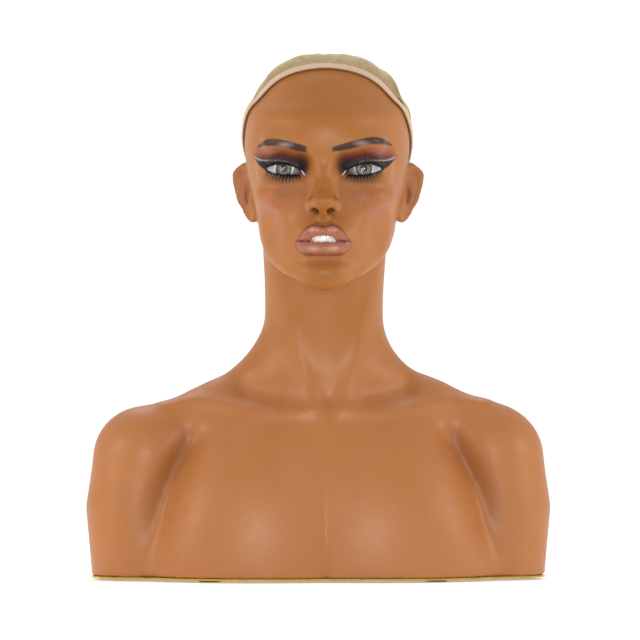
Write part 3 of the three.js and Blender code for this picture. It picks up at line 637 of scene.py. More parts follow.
class Finish:
    """A material under construction: colour layers, roughness and bump over one shader."""

    def __init__(self, name: str, base: str, roughness: float, **fixed: Any) -> None:
        """Starts the material.

        Args:
            name: the real material or finish.
            base: sRGB hex of the ground colour.
            roughness: uniform roughness, unless `rough` replaces it.
            fixed: other shader sockets, with underscores for spaces.
        """
        self.material = bpy.data.materials.new(name)
        self.material.use_nodes = True
        self.tree = Tree(self.material.node_tree)
        self.shader = self.material.node_tree.nodes["Principled BSDF"]
        self.shader.inputs["Roughness"].default_value = roughness
        for key, value in fixed.items():
            self.shader.inputs[key.replace("_", " ")].default_value = value
        self.colour = self.tree.add("ShaderNodeRGB")
        self.colour.outputs[0].default_value = linear(base)
        self.layer = self.colour.outputs[0]
        coords = self.tree.add("ShaderNodeTexCoord")
        self.object_coords = coords.outputs["Object"]
        self.uv = coords.outputs["UV"]
        parts = self.tree.add("ShaderNodeSeparateXYZ", {0: self.object_coords})
        self.x, self.y, self.z = (Signal(self.tree, s) * 1000.0 for s in parts.outputs)

    def noise(self, size_mm: float, detail: float = 3.0, stretch: tuple = (1, 1, 1)) -> Signal:
        """Noise whose grains are about size_mm across."""
        where = self.tree.add("ShaderNodeMapping", {0: self.object_coords, 3: stretch})
        node = self.tree.add("ShaderNodeTexNoise", {
            "Vector": where.outputs[0], "Scale": 1000.0 / size_mm, "Detail": detail})
        return Signal(self.tree, node.outputs[0])

    def dots(self, pitch_mm: float, size_mm: float) -> Signal:
        """Scattered round dots, 1 on a dot."""
        node = self.tree.add("ShaderNodeTexVoronoi", {
            "Vector": self.object_coords, "Scale": 1000.0 / pitch_mm})
        return (Signal(self.tree, node.outputs["Distance"]) * pitch_mm).ramp(size_mm / 2, size_mm / 4)

    def cover(self, colour: str | bpy.types.NodeSocket, mask: Signal | float, mode: str = "MIX") -> None:
        """Lays a colour over what is there, as strongly as the mask says."""
        value = linear(colour) if isinstance(colour, str) else colour
        node = self.tree.add("ShaderNodeMix", {0: mask, 6: self.layer, 7: value},
                             data_type="RGBA", blend_type=mode, clamp_factor=True)
        self.layer = node.outputs[2]

    def rough(self, value: Signal) -> None:
        """Roughness that varies over the surface."""
        self.tree.tree.links.new(value.socket, self.shader.inputs["Roughness"])

    def bump(self, height: Signal, depth_mm: float) -> None:
        """Relief of the given depth."""
        last = self.shader.inputs["Normal"]
        settings = {"Height": height, "Distance": depth_mm * MM, "Strength": 1.0}
        if last.is_linked:
            settings["Normal"] = last.links[0].from_socket
        node = self.tree.add("ShaderNodeBump", settings)
        self.tree.tree.links.new(node.outputs[0], last)

    def done(self) -> bpy.types.Material:
        """Joins the colour layers to the shader and returns the material."""
        self.tree.tree.links.new(self.layer, self.shader.inputs["Base Color"])
        return self.material


# ------------------------------------------------------------------ repeated parts by geometry nodes
class Growth:
    """Geometry Nodes for what repeats: strands along drawn lines, and a part set on points."""

    @staticmethod
    def start(name: str, sockets: Sequence[tuple[str, str]]) -> tuple[Tree, bpy.types.Node]:
        """New tree with a geometry input, the named inputs and a geometry output."""
        group = bpy.data.node_groups.new(name, "GeometryNodeTree")
        group.interface.new_socket("Geometry", in_out="INPUT", socket_type="NodeSocketGeometry")
        for label, kind in sockets:
            group.interface.new_socket(label, in_out="INPUT", socket_type=f"NodeSocket{kind}")
        group.interface.new_socket("Geometry", in_out="OUTPUT", socket_type="NodeSocketGeometry")
        tree = Tree(group)
        return tree, tree.add("NodeGroupInput")

    @staticmethod
    def close(tree: Tree, source: bpy.types.Node, geometry: bpy.types.NodeSocket) -> None:
        """Ends a tree in Realize Instances and Set Material."""
        real = tree.add("GeometryNodeRealizeInstances", {0: geometry})
        painted = tree.add("GeometryNodeSetMaterial", {
            "Geometry": real.outputs[0], "Material": source.outputs["Material"]})
        tree.add("NodeGroupOutput", {0: painted.outputs[0]})

    @classmethod
    def strands(cls) -> bpy.types.NodeTree:
        """Lines of a mesh become closed strands, tapered by the attribute `taper`."""
        tree, source = cls.start("Strands", (("Radius", "Float"), ("Sides", "Int"), ("Material", "Material")))
        lines = tree.add("GeometryNodeMeshToCurve", {0: source.outputs["Geometry"]})
        ring = tree.add("GeometryNodeCurvePrimitiveCircle", {
            "Resolution": source.outputs["Sides"], "Radius": source.outputs["Radius"]})
        taper = tree.add("GeometryNodeInputNamedAttribute", {"Name": "taper"}, data_type="FLOAT")
        tube = tree.add("GeometryNodeCurveToMesh", {
            "Curve": lines.outputs[0], "Profile Curve": ring.outputs[0],
            "Scale": taper.outputs[0], "Fill Caps": True})
        cls.close(tree, source, tube.outputs[0])
        return tree.tree

    @classmethod
    def repeats(cls) -> bpy.types.NodeTree:
        """One part set on every point of a mesh."""
        tree, source = cls.start("Repeated part", (("Part", "Object"), ("Material", "Material")))
        part = tree.add("GeometryNodeObjectInfo", {"Object": source.outputs["Part"]})
        many = tree.add("GeometryNodeInstanceOnPoints", {
            "Points": source.outputs["Geometry"], "Instance": part.outputs["Geometry"]})
        cls.close(tree, source, many.outputs[0])
        return tree.tree

    @staticmethod
    def harvest(obj: bpy.types.Object, group: bpy.types.NodeTree, **values: Any) -> bpy.types.Object:
        """Runs a tree on an object and keeps the result as its plain mesh.

        Args:
            obj: the object that carries the lines or points.
            group: the geometry node tree.
            values: the tree's named inputs.

        Returns:
            The same object.
        """
        modifier = obj.modifiers.new(group.name, "NODES")
        modifier.node_group = group
        for item in group.interface.items_tree:
            if item.item_type == "SOCKET" and item.in_out == "INPUT" and item.name in values:
                modifier[item.identifier] = values[item.name]
        graph = bpy.context.evaluated_depsgraph_get()
        mesh = bpy.data.meshes.new_from_object(obj.evaluated_get(graph))
        obj.modifiers.remove(modifier)
        obj.data = mesh
        return obj


def drawn_lines(name: str, lines: Sequence[np.ndarray], tapers: Sequence[np.ndarray]) -> bpy.types.Object:
    """Object whose mesh is these open lines, each point with its taper.

    Args:
        name: the new object's name.
        lines: points of each line, in metres.
        tapers: thickness of each point of each line, as a share of the full radius.

    Returns:
        The new object.
    """
    edges, start = [], 0
    for line in lines:
        edges += [(start + i, start + i + 1) for i in range(len(line) - 1)]
        start += len(line)
    mesh = bpy.data.meshes.new(name)
    mesh.from_pydata(np.concatenate(lines).tolist(), edges, [])
    mesh.attributes.new("taper", "FLOAT", "POINT").data.foreach_set(
        "value", np.concatenate(tapers).astype(np.float32))
    mesh.update()
    obj = bpy.data.objects.new(name, mesh)
    bpy.context.scene.collection.objects.link(obj)
    return obj


# ------------------------------------------------------------------ finishes
@dataclass(frozen=True)
class PaintedPvc:
    """Rotomoulded soft PVC, sprayed caramel, made up by airbrush, stencil and fine brush."""

    form: BustForm
    skin: str = "#a3662e"
    warm: str = "#b5774b"
    shade: str = "#7f4a18"
    lip: str = "#9c5f49"
    brow_low: tuple = (
        (6, 393.4), (13, 393.9), (20, 394.8), (29, 397.0), (40, 399.6), (49, 400.3), (57, 399.8), (63, 397.4),
    )
    brow_high: tuple = (
        (6, 397.2), (13, 399.3), (20, 401.6), (29, 404.0), (38, 406.2), (46, 407.2), (53, 406.0),
        (59, 402.6), (63.5, 398.6),
    )
    glitter: tuple = (
        (19, 375.8), (21, 377.6), (26.7, 381.5), (33, 383.8), (39.5, 385.1), (48, 385.1), (56, 385.3),
        (64, 388.4),
    )
    wing_low: tuple = ((17, 375), (53, 377.2), (57, 379.3), (61.5, 383.6), (64, 387.8))
    lip_high: tuple = (
        (0, 325.6), (4, 326.4), (8.7, 327.3), (17, 322.6), (21, 317.8), (24.5, 313), (27, 310.2),
    )
    lip_low: tuple = ((0, 298.6), (10, 298.4), (17, 299.2), (22, 302.2), (25, 305.6), (27, 310.2))

    def material(self) -> bpy.types.Material:
        """Satin and faintly mottled; the paint is as smooth as the plastic, the lips glossier."""
        f = Finish("Painted rotomoulded PVC", self.skin, 0.44, IOR=1.46, Specular_IOR_Level=0.32)
        c, s = math.cos(-self.form.turn), math.sin(-self.form.turn)
        x = f.x - self.form.shift[0] - self.form.aside
        y = f.y - self.form.shift[1] - self.form.pivot
        side = x * c - y * s
        depth = x * s + y * c + self.form.pivot
        u, z = side.size(), f.z
        face = depth.ramp(-38, -56) * z.ramp(262, 275)
        self.body_tone(f, u, depth, z)
        self.cheeks(f, u, z, face)
        self.eyes(f, u, z, face)
        self.brows(f, u, z, side, face)
        lips = self.lips(f, u, z, face)
        f.rough(0.43 + (f.noise(9) - 0.5) * 0.12 - lips * 0.14)
        f.bump(f.noise(1.6, 2.0), 0.035)
        f.bump(f.noise(14, 2.0), 0.10)
        return f.done()

    def body_tone(self, f: Finish, u: Signal, depth: Signal, z: Signal) -> None:
        """Sprayed tone: cloudy over 40 mm, freckled over 1 mm, warmer on the trunk; painted shade on the
        ears.
        """
        f.cover(self.warm, (f.noise(55, 2.0) - 0.42).ramp(0, 0.3) * 0.22)
        f.cover(self.warm, z.ramp(250, 150) * 0.42)
        f.cover(self.shade, (f.noise(30, 3.0) - 0.5).ramp(0, 0.3) * 0.12)
        f.cover(self.shade, (f.noise(1.3, 1.0) - 0.5).ramp(0, 0.25) * 0.10)
        # painted shade: the ears darker all over, and darker still in their bowls
        ear = u.ramp(70, 74) * z.ramp(322, 330) * depth.ramp(-22, -14) * z.ramp(396, 388)
        f.cover("#8a4f24", ear * 0.5)
        f.cover("#4a240e", spot(u, z, (73.5, 357), (6.5, 13)) * ear * 0.55)
        f.cover("#7c4420", f.dots(11, 0.9) * (f.noise(40) - 0.5).ramp(0, 0.1) * 0.5)

    def cheeks(self, f: Finish, u: Signal, z: Signal, face: Signal) -> None:
        """Airbrushed blush, contour, deeper nose and chin, painted shade in the nostrils, stippled freckles.
        """
        f.cover("#a25c3c", spot(u, z, (46, 344), (30, 28)) * face * 0.55)
        f.cover("#b97a58", spot(u, z, (58, 334), (12, 24)) * face * 0.45)
        f.cover("#9a5b22", spot(u, z, (0, 425), (60, 44)) * face * 0.5)
        f.cover("#8f5412", spot(u, z, (0, 352), (17, 34)) * face * 0.55)
        f.cover("#8f5412", spot(u, z, (0, 282), (26, 18)) * face * 0.6)
        f.cover("#8a4e1e", spot(u, z, (16, 376), (10, 22)) * face * 0.5)
        # painted shade in the nostrils
        f.cover("#4a230c", spot(u, z, (8.8, 340.6), (4.2, 3.0)) * face * 0.8)
        f.cover("#824821", spot(u, z, (31, 357), (26, 13)) * face * 0.45)
        freckles = f.dots(1.9, 1.0) * spot(u, z, (30, 353), (28, 17)).ramp(0, 0.35)
        f.cover("#4f280f", freckles * face * 0.6)

    def eyes(self, f: Finish, u: Signal, z: Signal, face: Signal) -> None:
        """Smoky shadow, winged liner, painted glints on the glitter line and the lower lid, painted corners.
        """
        lids = self.form.head.lids
        stations = [i / 12 for i in range(13)]
        upper = u.curve([(lids.across(t), float(lids.upper(np.array(t)))) for t in stations])
        lower = u.curve([(lids.across(t), float(lids.lower(np.array(t)))) for t in stations])
        glitter = u.curve(self.glitter)
        brow = u.curve(self.brow_low)
        lid_zone = u.ramp(11, 18) * u.ramp(68, 60) * face
        rise = (z - glitter) / (brow - glitter).most(2.0)
        f.cover("#8c4124", lid_zone * rise.ramp(-0.3, 0.0) * rise.ramp(1.15, 0.5) * 0.85)
        f.cover("#985840", spot(u, z, (48, 394.5), (15, 6)) * face * 0.6)
        f.cover("#4a1f18", lid_zone * rise.ramp(-0.3, -0.05) * rise.ramp(0.62, 0.05) * 0.95)
        f.cover("#2a1310", spot(u, z, (20, 384), (13, 12)) * face * 0.9)
        f.cover("#140a09", (spot(u, z, (19.5, 380.5), (7.5, 7)) * 1.3).least(1.0) * face * 0.85)
        f.cover("#4e2614", spot(u, z, (39, 369.5), (27, 9)) * (z - upper).ramp(0, -3) * face * 0.75)
        below = u.curve(self.wing_low)
        lined = (z - below).ramp(-0.5, 0.3) * (glitter - z).ramp(-0.3, 0.5)
        lined = lined * u.ramp(18.5, 21) * u.ramp(64.5, 63)
        under = (z - lower).ramp(-2.3, -0.9) * (upper - z).ramp(-0.5, 0.3)
        under = under * u.ramp(21, 26) * u.ramp(55.5, 53)
        f.cover("#0b0808", lined.most(under) * face)
        # silver glitter liner; its brighter dots and the near-white dots are painted glints
        line = ((z - glitter - 0.4).size()).ramp(1.1, 0.5) * u.ramp(22, 27) * u.ramp(65, 63.5) * face
        spark = f.dots(0.9, 0.8)
        f.cover("#a7a0a0", line * (spark * 0.45 + 0.4))
        f.cover("#fffaf6", line * spark.ramp(0.5, 1.0) * 0.9)
        # painted glints on the outer lower lid
        lower_lid_glints = ((z - lower + 1.6).size()).ramp(1.3, 0.5) * u.ramp(38, 42) * u.ramp(53, 50) * face
        f.cover("#e8e2de", lower_lid_glints * spark * 0.8)
        tick = (z - 372.2 - (u - 17.2) * 1.3).size().ramp(0.9, 0.35) * z.ramp(371.6, 372.6) * z.ramp(377, 376)
        f.cover("#efe4dc", tick * u.ramp(16, 17) * u.ramp(21.5, 20.5) * face)

    def brows(self, f: Finish, u: Signal, z: Signal, side: Signal, face: Signal) -> None:
        """Stencilled brows in slanting strokes, with a grey painted highlight across the middle of each arch.
        """
        low, high = u.curve(self.brow_low), u.curve(self.brow_high)
        z = z + side.ramp(-8, 8, 1.6, 0.2)
        inner = u - side.ramp(-5, 5, 13.0, 6.5)
        across, along = u * 0.83 - z * 0.55, u * 0.55 + z * 0.83
        where = f.tree.add("ShaderNodeCombineXYZ", {0: across * 1.5, 1: along * 0.22})
        hairs = Signal(f.tree, f.tree.add("ShaderNodeTexNoise", {
            "Vector": where.outputs[0], "Scale": 1.0, "Detail": 1.0}).outputs[0])
        fray = (hairs - 0.5) * 1.6
        inside = (z - low + fray).ramp(-0.7, 1.1) * (high - z + fray).ramp(-0.7, 1.1)
        inside = inside * (inner + fray).ramp(0, 4) * u.ramp(63.5, 60) * face
        f.cover("#2b1a12", inside * (hairs.ramp(0.25, 0.5) * 0.16 + 0.8))
        # painted highlight: grey across the middle of the arch
        brow_highlight = spot(u, z, (35, 401.2), (11, 4.2)) * inside
        f.cover("#94847c", brow_highlight * 0.75)

    def lips(self, f: Finish, u: Signal, z: Signal, face: Signal) -> Signal:
        """Nude lips, lined darker round their edge, with painted highlights and painted shade in their
        creases.

        Returns:
            Where the lips are, for their gloss.
        """
        high, low = u.curve(self.lip_high), u.curve(self.lip_low)
        inside = (z - low).ramp(-0.4, 0.5) * (high - z).ramp(-0.4, 0.5) * u.ramp(27.2, 25.8) * face
        edge = (z - low).least(high - z)
        f.cover(self.lip, inside * 0.95)
        upper, lower = z.ramp(313.5, 315), z.ramp(314, 312.5)
        # painted highlights on the upper and the lower lip
        f.cover("#b98375", spot(u, z, (10, 322.2), (9, 3.2)) * inside * 0.8)
        f.cover("#c29378", spot(u, z, (9, 305.2), (10, 4.4)) * inside * 0.75)
        f.cover("#613021", inside * edge.ramp(2.7, 0.3) * upper * 0.85)
        f.cover("#743b20", inside * edge.ramp(2.4, 0.3) * lower * 0.75)
        # painted shade along the lips' parting, towards the corners
        f.cover("#5a2a1c", inside * (z - 312.2).size().ramp(1.8, 0.2) * u.ramp(10, 13) * 0.8)
        f.cover("#9c5c45", (f.noise(1.2, 1.0, (4, 4, 0.6)) - 0.5).ramp(0, 0.25) * inside * 0.25)
        # painted shade in the groove above the upper lip and in the crease below the lower lip
        f.cover("#845029", spot(u, z, (0, 331), (4, 6)) * face * (1.0 - inside) * 0.4)
        f.cover("#7f4a24", spot(u, z, (0, 294.5), (15, 4)) * face * (1.0 - inside) * 0.5)
        return inside


@dataclass(frozen=True)
class KnittedNylon:
    """Warp-knitted nylon net of crimped, faintly shiny yarn."""

    yarn: str = "#c6aa76"

    def material(self) -> bpy.types.Material:
        """Beige yarn with darker twist marks and a soft sheen."""
        f = Finish("Knitted nylon net", self.yarn, 0.62, Sheen_Weight=0.25, Sheen_Roughness=0.5)
        f.cover("#97794a", (f.noise(5, 3.0) - 0.45).ramp(0, 0.25) * 0.5)
        f.cover("#efe2c0", (f.noise(1.1, 1.0) - 0.5).ramp(0, 0.2) * 0.5)
        f.rough(0.55 + f.noise(2) * 0.2)
        f.bump(f.noise(0.6, 1.0), 0.05)
        return f.done()


@dataclass(frozen=True)
class WovenElastic:
    """Covered elastic tape with ribs along it, drawn 1 mm apart, wide enough to show."""

    tape: str = "#cfae8c"
    edge_shadow: str = "#6d3f25"

    def material(self) -> bpy.types.Material:
        """Peach tape with painted shade in its grooves and painted highlights on its ribs; a painted shadow
        on the free edge.
        """
        f = Finish("Woven covered elastic", self.tape, 0.72, Sheen_Weight=0.3, Sheen_Roughness=0.5)
        parts = f.tree.add("ShaderNodeSeparateXYZ", {0: f.uv})
        along, across = Signal(f.tree, parts.outputs[0]), Signal(f.tree, parts.outputs[1])
        rib = (across * (2 * math.pi * 9)).math("SINE") * 0.5 + 0.5
        pick = (along * (2 * math.pi * 300)).math("SINE") * 0.5 + 0.5
        # painted shade in the grooves between the ribs, painted highlights on the rib crests
        f.cover("#b08a66", (1.0 - rib) * 0.5)
        f.cover("#ecd9bd", pick * rib * 0.35)
        f.cover("#c79d78", (f.noise(22, 2.0) - 0.5).ramp(0, 0.2) * 0.4)
        # painted shadow line along the free lower edge of the tape
        f.cover(self.edge_shadow, across.ramp(0.05, 0.02) * 0.85)
        f.rough(0.66 + pick * 0.12)
        f.bump(rib * 0.7 + pick * 0.3, 0.22)
        return f.done()


@dataclass(frozen=True)
class GlossEdging:
    """Extruded PVC edging strip, yellow-gold, butted at the front."""

    def material(self) -> bpy.types.Material:
        """Glossy, with drawn lines along it and rubbed, duller patches."""
        f = Finish("Extruded PVC edging", "#b59410", 0.22, IOR=1.5)
        f.cover("#7f6606", (f.noise(18, 3.0) - 0.5).ramp(0, 0.25) * 0.5)
        f.cover("#d9c34a", f.noise(0.5, 1.0, (0.05, 0.05, 3)).ramp(0.5, 0.7) * 0.3)
        f.rough(0.18 + f.noise(7) * 0.2)
        f.bump(f.noise(0.4, 1.0, (0.05, 0.05, 4)), 0.03)
        return f.done()


class Timber(Enum):
    """Wood products: ground colour, darker figure, and the stretch of the figure."""

    FIBREBOARD = ("Medium-density fibreboard", "#b58a5c", "#8f6639", (1.0, 1.0, 1.0), 0.9)
    SOFTWOOD = ("Sawn softwood", "#cda067", "#a4713b", (6.0, 1.2, 6.0), 9.0)

    def material(self) -> bpy.types.Material:
        """Dry and matt: fuzzy flecks in fibreboard, saw marks and long grain in softwood."""
        name, ground, dark, stretch, grain = self.value
        f = Finish(name, ground, 0.85)
        f.cover(dark, (f.noise(grain, 4.0, stretch) - 0.42).ramp(0, 0.22) * 0.65)
        f.cover("#e0c096", (f.noise(1.6, 2.0) - 0.52).ramp(0, 0.15) * 0.35)
        f.cover("#7b5733", (f.noise(70, 2.0) - 0.5).ramp(0, 0.25) * 0.25)
        f.rough(0.78 + f.noise(4) * 0.14)
        f.bump(f.noise(0.8, 2.0, stretch), 0.18)
        return f.done()


@dataclass(frozen=True)
class CastAcrylic:
    """Polished acrylic of the eyes: an opal white, or a clear lens."""

    clear: bool = False

    def material(self) -> bpy.types.Material:
        """Wet gloss. The white is clouded grey in patches and faintly streaked with red."""
        if self.clear:
            f = Finish("Clear cast acrylic", "#ffffff", 0.03, IOR=1.34, Transmission_Weight=1.0)
            f.cover("#f4f8fa", f.noise(4, 1.0) * 0.3)
            return f.done()
        f = Finish("Opal cast acrylic", "#c4c0c6", 0.08, IOR=1.49, Coat_Weight=0.6, Coat_Roughness=0.03)
        f.cover("#b3a7a3", (f.noise(9, 2.0) - 0.5).ramp(0, 0.2) * 0.35)
        f.cover("#c99f92", (f.noise(2.2, 3.0, (1, 1, 2.4)) - 0.6).ramp(0, 0.06) * 0.18)
        f.rough(0.06 + f.noise(6) * 0.06)
        return f.done()


@dataclass(frozen=True)
class PrintedIris:
    """Offset-printed iris disc under the lens."""

    ground: str = "#77735f"

    def material(self) -> bpy.types.Material:
        """Grey hazel spokes, a warm ring, a dark rim and a black pupil."""
        f = Finish("Printed iris disc", self.ground, 0.4, Specular_IOR_Level=0.08)
        parts = f.tree.add("ShaderNodeSeparateXYZ", {0: f.uv})
        a, b = (Signal(f.tree, parts.outputs[i]) * 2.0 - 1.0 for i in (0, 1))
        radius = (a * a + b * b).math("SQRT")
        ring = f.tree.add("ShaderNodeCombineXYZ", {
            0: a / radius.most(0.05) * 9.0, 1: b / radius.most(0.05) * 9.0, 2: radius * 1.6})
        spokes = Signal(f.tree, f.tree.add("ShaderNodeTexNoise", {
            "Vector": ring.outputs[0], "Scale": 1.0, "Detail": 3.0}).outputs[0])
        f.cover("#b3a89b", spokes.ramp(0.48, 0.7) * 0.8)
        f.cover("#33291f", spokes.ramp(0.48, 0.3) * 0.85)
        f.cover("#8a6238", radius.ramp(0.66, 0.42) * 0.45)
        f.cover("#0c0806", radius.ramp(0.72, 0.95) * 0.97)
        f.cover("#020202", radius.ramp(0.44, 0.38))
        f.rough(0.3 + spokes * 0.15)
        f.bump(spokes, 0.04)
        return f.done()


@dataclass(frozen=True)
class PlainStock:
    """Single-material small parts whose grain, wear and relief differ only in size."""

    name: str
    ground: str
    worn: str
    grain_mm: float
    relief_mm: float
    roughness: float
    metallic: float = 0.0

    def material(self) -> bpy.types.Material:
        """Two close tones in patches, with matching roughness and relief."""
        f = Finish(self.name, self.ground, self.roughness, Metallic=self.metallic)
        f.cover(self.worn, (f.noise(self.grain_mm, 3.0) - 0.45).ramp(0, 0.2) * 0.6)
        f.cover(self.worn, (f.noise(self.grain_mm * 6, 2.0) - 0.5).ramp(0, 0.2) * 0.4)
        f.rough(self.roughness + (f.noise(self.grain_mm * 2) - 0.5) * 0.2)
        f.bump(f.noise(self.grain_mm, 2.0), self.relief_mm)
        return f.done()


# fine synthetic fibre, matt black with a brown cast
LASH_FIBRE = PlainStock("Synthetic lash fibre", "#0c0908", "#251a15", 1.5, 0.01, 0.5)
# injection-moulded, faintly yellow and wet-looking
TOOTH_PLASTIC = PlainStock("Moulded polystyrene teeth", "#f3eeea", "#ddd2c8", 5.0, 0.02, 0.18)
# barrel plated, cloudy and scratched
ZINC_PLATE = PlainStock("Zinc-plated steel", "#c9ccd0", "#8f949b", 1.6, 0.02, 0.34, 1.0)
# moulded foot, dusty
PAD_RUBBER = PlainStock("Moulded rubber", "#232323", "#4a4743", 1.4, 0.08, 0.8)


# ------------------------------------------------------------------ sub-assemblies
def hand_over(obj: bpy.types.Object, nodes: Sequence[str], body: str,
              material: bpy.types.Material | None = None) -> bpy.types.Object:
    """Dresses a finished piece and gives it its place in the frame.

    Args:
        obj: the piece.
        nodes: the CAD nodes it stands for.
        body: the body it rides on.
        material: its material, unless it already has one.

    Returns:
        The piece.
    """
    if material:
        obj.data.materials.clear()
        obj.data.materials.append(material)
    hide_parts(*nodes)
    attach(obj, body)
    LOG.info("%s: %d faces", obj.name, len(obj.data.polygons))
    return obj


@dataclass
class BustShell:
    """The hollow moulded body, from crown to cut base."""

    form: BustForm
    face_pitch: float = 1.55
    trunk_pitch: float = 4.0
    inner_pitch: float = 6.0
    most_triangles: int = 190_000

    def outside(self, x: Any, y: Any, z: Any) -> np.ndarray:
        """Distance to the body cut off flat at its base."""
        return carve(self.form.body(x, y, z), self.form.bottom - z, 0.8)

    def inside(self, x: Any, y: Any, z: Any) -> np.ndarray:
        """Distance to the hollow, which runs out through the base."""
        return np.maximum(self.form.body(x, y, z) + self.form.wall, -3.0 - z)

    def build(self, material: bpy.types.Material) -> bpy.types.Object:
        """Moulds the wall between the outer and the inner form."""
        p, g = self.face_pitch, self.trunk_pitch
        xs = stops((-225, g), (-95, p), (95, g), end=225)
        ys = stops((-125, p), (-40, 3.0), end=125)
        zs = stops((-4, g), (262, p), (400, 1.8), (450, 3.0), end=492)
        points, quads = contour(self.outside, xs, ys, zs)
        points = settle(self.outside, points)
        shell = mesh_object("painted_bust", self.form.place(points), quads)
        k = self.inner_pitch
        points, quads = contour(self.inside, stops((-220, k), end=220), stops((-120, k), end=120),
                                stops((-12, k), end=488))
        hollow = mesh_object("hollow", self.form.place(settle(self.inside, points)), quads)
        cut = shell.modifiers.new("Hollow", "BOOLEAN")
        cut.operation, cut.solver, cut.object = "DIFFERENCE", "MANIFOLD", hollow
        shell.data = finished_mesh(shell)
        bpy.data.objects.remove(hollow)
        thin = shell.modifiers.new("Thin", "DECIMATE")
        thin.ratio = min(1.0, self.most_triangles / sum(len(f.vertices) - 2 for f in shell.data.polygons))
        shell.data = finished_mesh(shell)
        shell.data.polygons.foreach_set("use_smooth", [True] * len(shell.data.polygons))
        return hand_over(shell, ["bust_shell"], BUST, material)


@dataclass
class InsetEye:
    """One eye: an opal dome, a printed disc in its recess and a clear lens, turned on one axis."""

    form: BustForm
    label: str
    side: int
    iris_radius: float = 7.8
    foot: float = 8.0
    edge_angle: float = 61.0
    segments: int = 72

    def turned(self, name: str, outline: Sequence[tuple[float, float]]) -> bpy.types.Object:
        """Solid of revolution about the eye's axis from (radius, forward) points, ends on the axis."""
        ex, ey, ez = self.form.head.eye
        angles = np.linspace(0, 2 * math.pi, self.segments, endpoint=False)
        rings = []
        for radius, forward in outline[1:-1]:
            ring = np.stack([
                self.side * ex + radius * np.cos(angles), np.full(len(angles), ey - forward),
                ez + radius * np.sin(angles)], 1)
            rings.append(self.form.place(ring, in_head=True))
        return lofted(name, rings, caps=True)

    def dome(self, start: float, stop: float, radius: float, count: int) -> list[tuple[float, float]]:
        """Points on the eyeball between two angles from its axis."""
        return [
            (radius * math.sin(a), radius * math.cos(a))
            for a in np.radians(np.linspace(start, stop, count))
        ]

    def build(self, opal: bpy.types.Material, disc: bpy.types.Material, lens: bpy.types.Material) -> None:
        """Makes the three layers."""
        ball, r = self.form.head.eye_radius - 0.05, self.iris_radius
        rim = math.degrees(math.asin((r + 0.15) / ball))
        seat = math.sqrt(ball**2 - r**2) - 1.9
        white = [(0, seat), (0.6 * r, seat), (r + 0.15, seat), *self.dome(rim, self.edge_angle, ball, 22)]
        white += [(ball * math.sin(math.radians(self.edge_angle)), self.foot), (5, self.foot), (0, self.foot)]
        obj = self.turned(f"{self.label}_eye_dome", white)
        hand_over(obj, [f"{self.label}_eye_white"], BUST, opal)
        iris = [(0, seat + 0.1)] + [(r * t, seat + 0.1) for t in (0.5, 0.98)]
        iris += [(r * t, seat + 0.45 + 0.25 * t * t) for t in (1.0, 0.8, 0.6, 0.4, 0.2, 0.05)]
        iris.append((0, seat + 0.4))
        obj = self.turned(f"{self.label}_iris_disc", iris)
        self.print_plate(obj)
        hand_over(obj, [f"{self.label}_iris"], BUST, disc)
        crest = ball + 0.75
        edge = math.sqrt(ball**2 - r**2)
        clear = [(0, edge - 0.75), (r * 0.5, edge - 0.75), (r, edge - 0.75)]
        clear += [(r * t, crest - (crest - edge) * t * t) for t in (1.0, 0.95, 0.85, 0.7, 0.5, 0.3, 0.1)]
        obj = self.turned(f"{self.label}_eye_lens", clear + [(0, crest)])
        hand_over(obj, [f"{self.label}_cornea"], BUST, lens)

    def print_plate(self, obj: bpy.types.Object) -> None:
        """Maps the disc's own square onto its mesh, for the printed pattern."""
        ex, ey, ez = self.form.head.eye
        centre = self.form.place(np.array([[self.side * ex, ey, ez]]), in_head=True)[0]
        turn = self.form.turn
        plate = obj.data.uv_layers.new(name="plate")
        for loop in obj.data.loops:
            p = obj.data.vertices[loop.vertex_index].co
            along = (p.x - centre[0]) * math.cos(turn) + (p.y - centre[1]) * math.sin(turn)
            size = 2 * self.iris_radius * MM
            plate.data[loop.index].uv = (0.5 + along / size, 0.5 + (p.z - centre[2]) / size)


class LidEdge(Enum):
    """Which lid a strip of lashes is glued to: direction, hair count, length and curl in degrees."""

    UPPER = ("upper", 1, 92, 17.0, (-24.0, 100.0))
    LOWER = ("lower", -1, 46, 10.0, (14.0, 70.0))


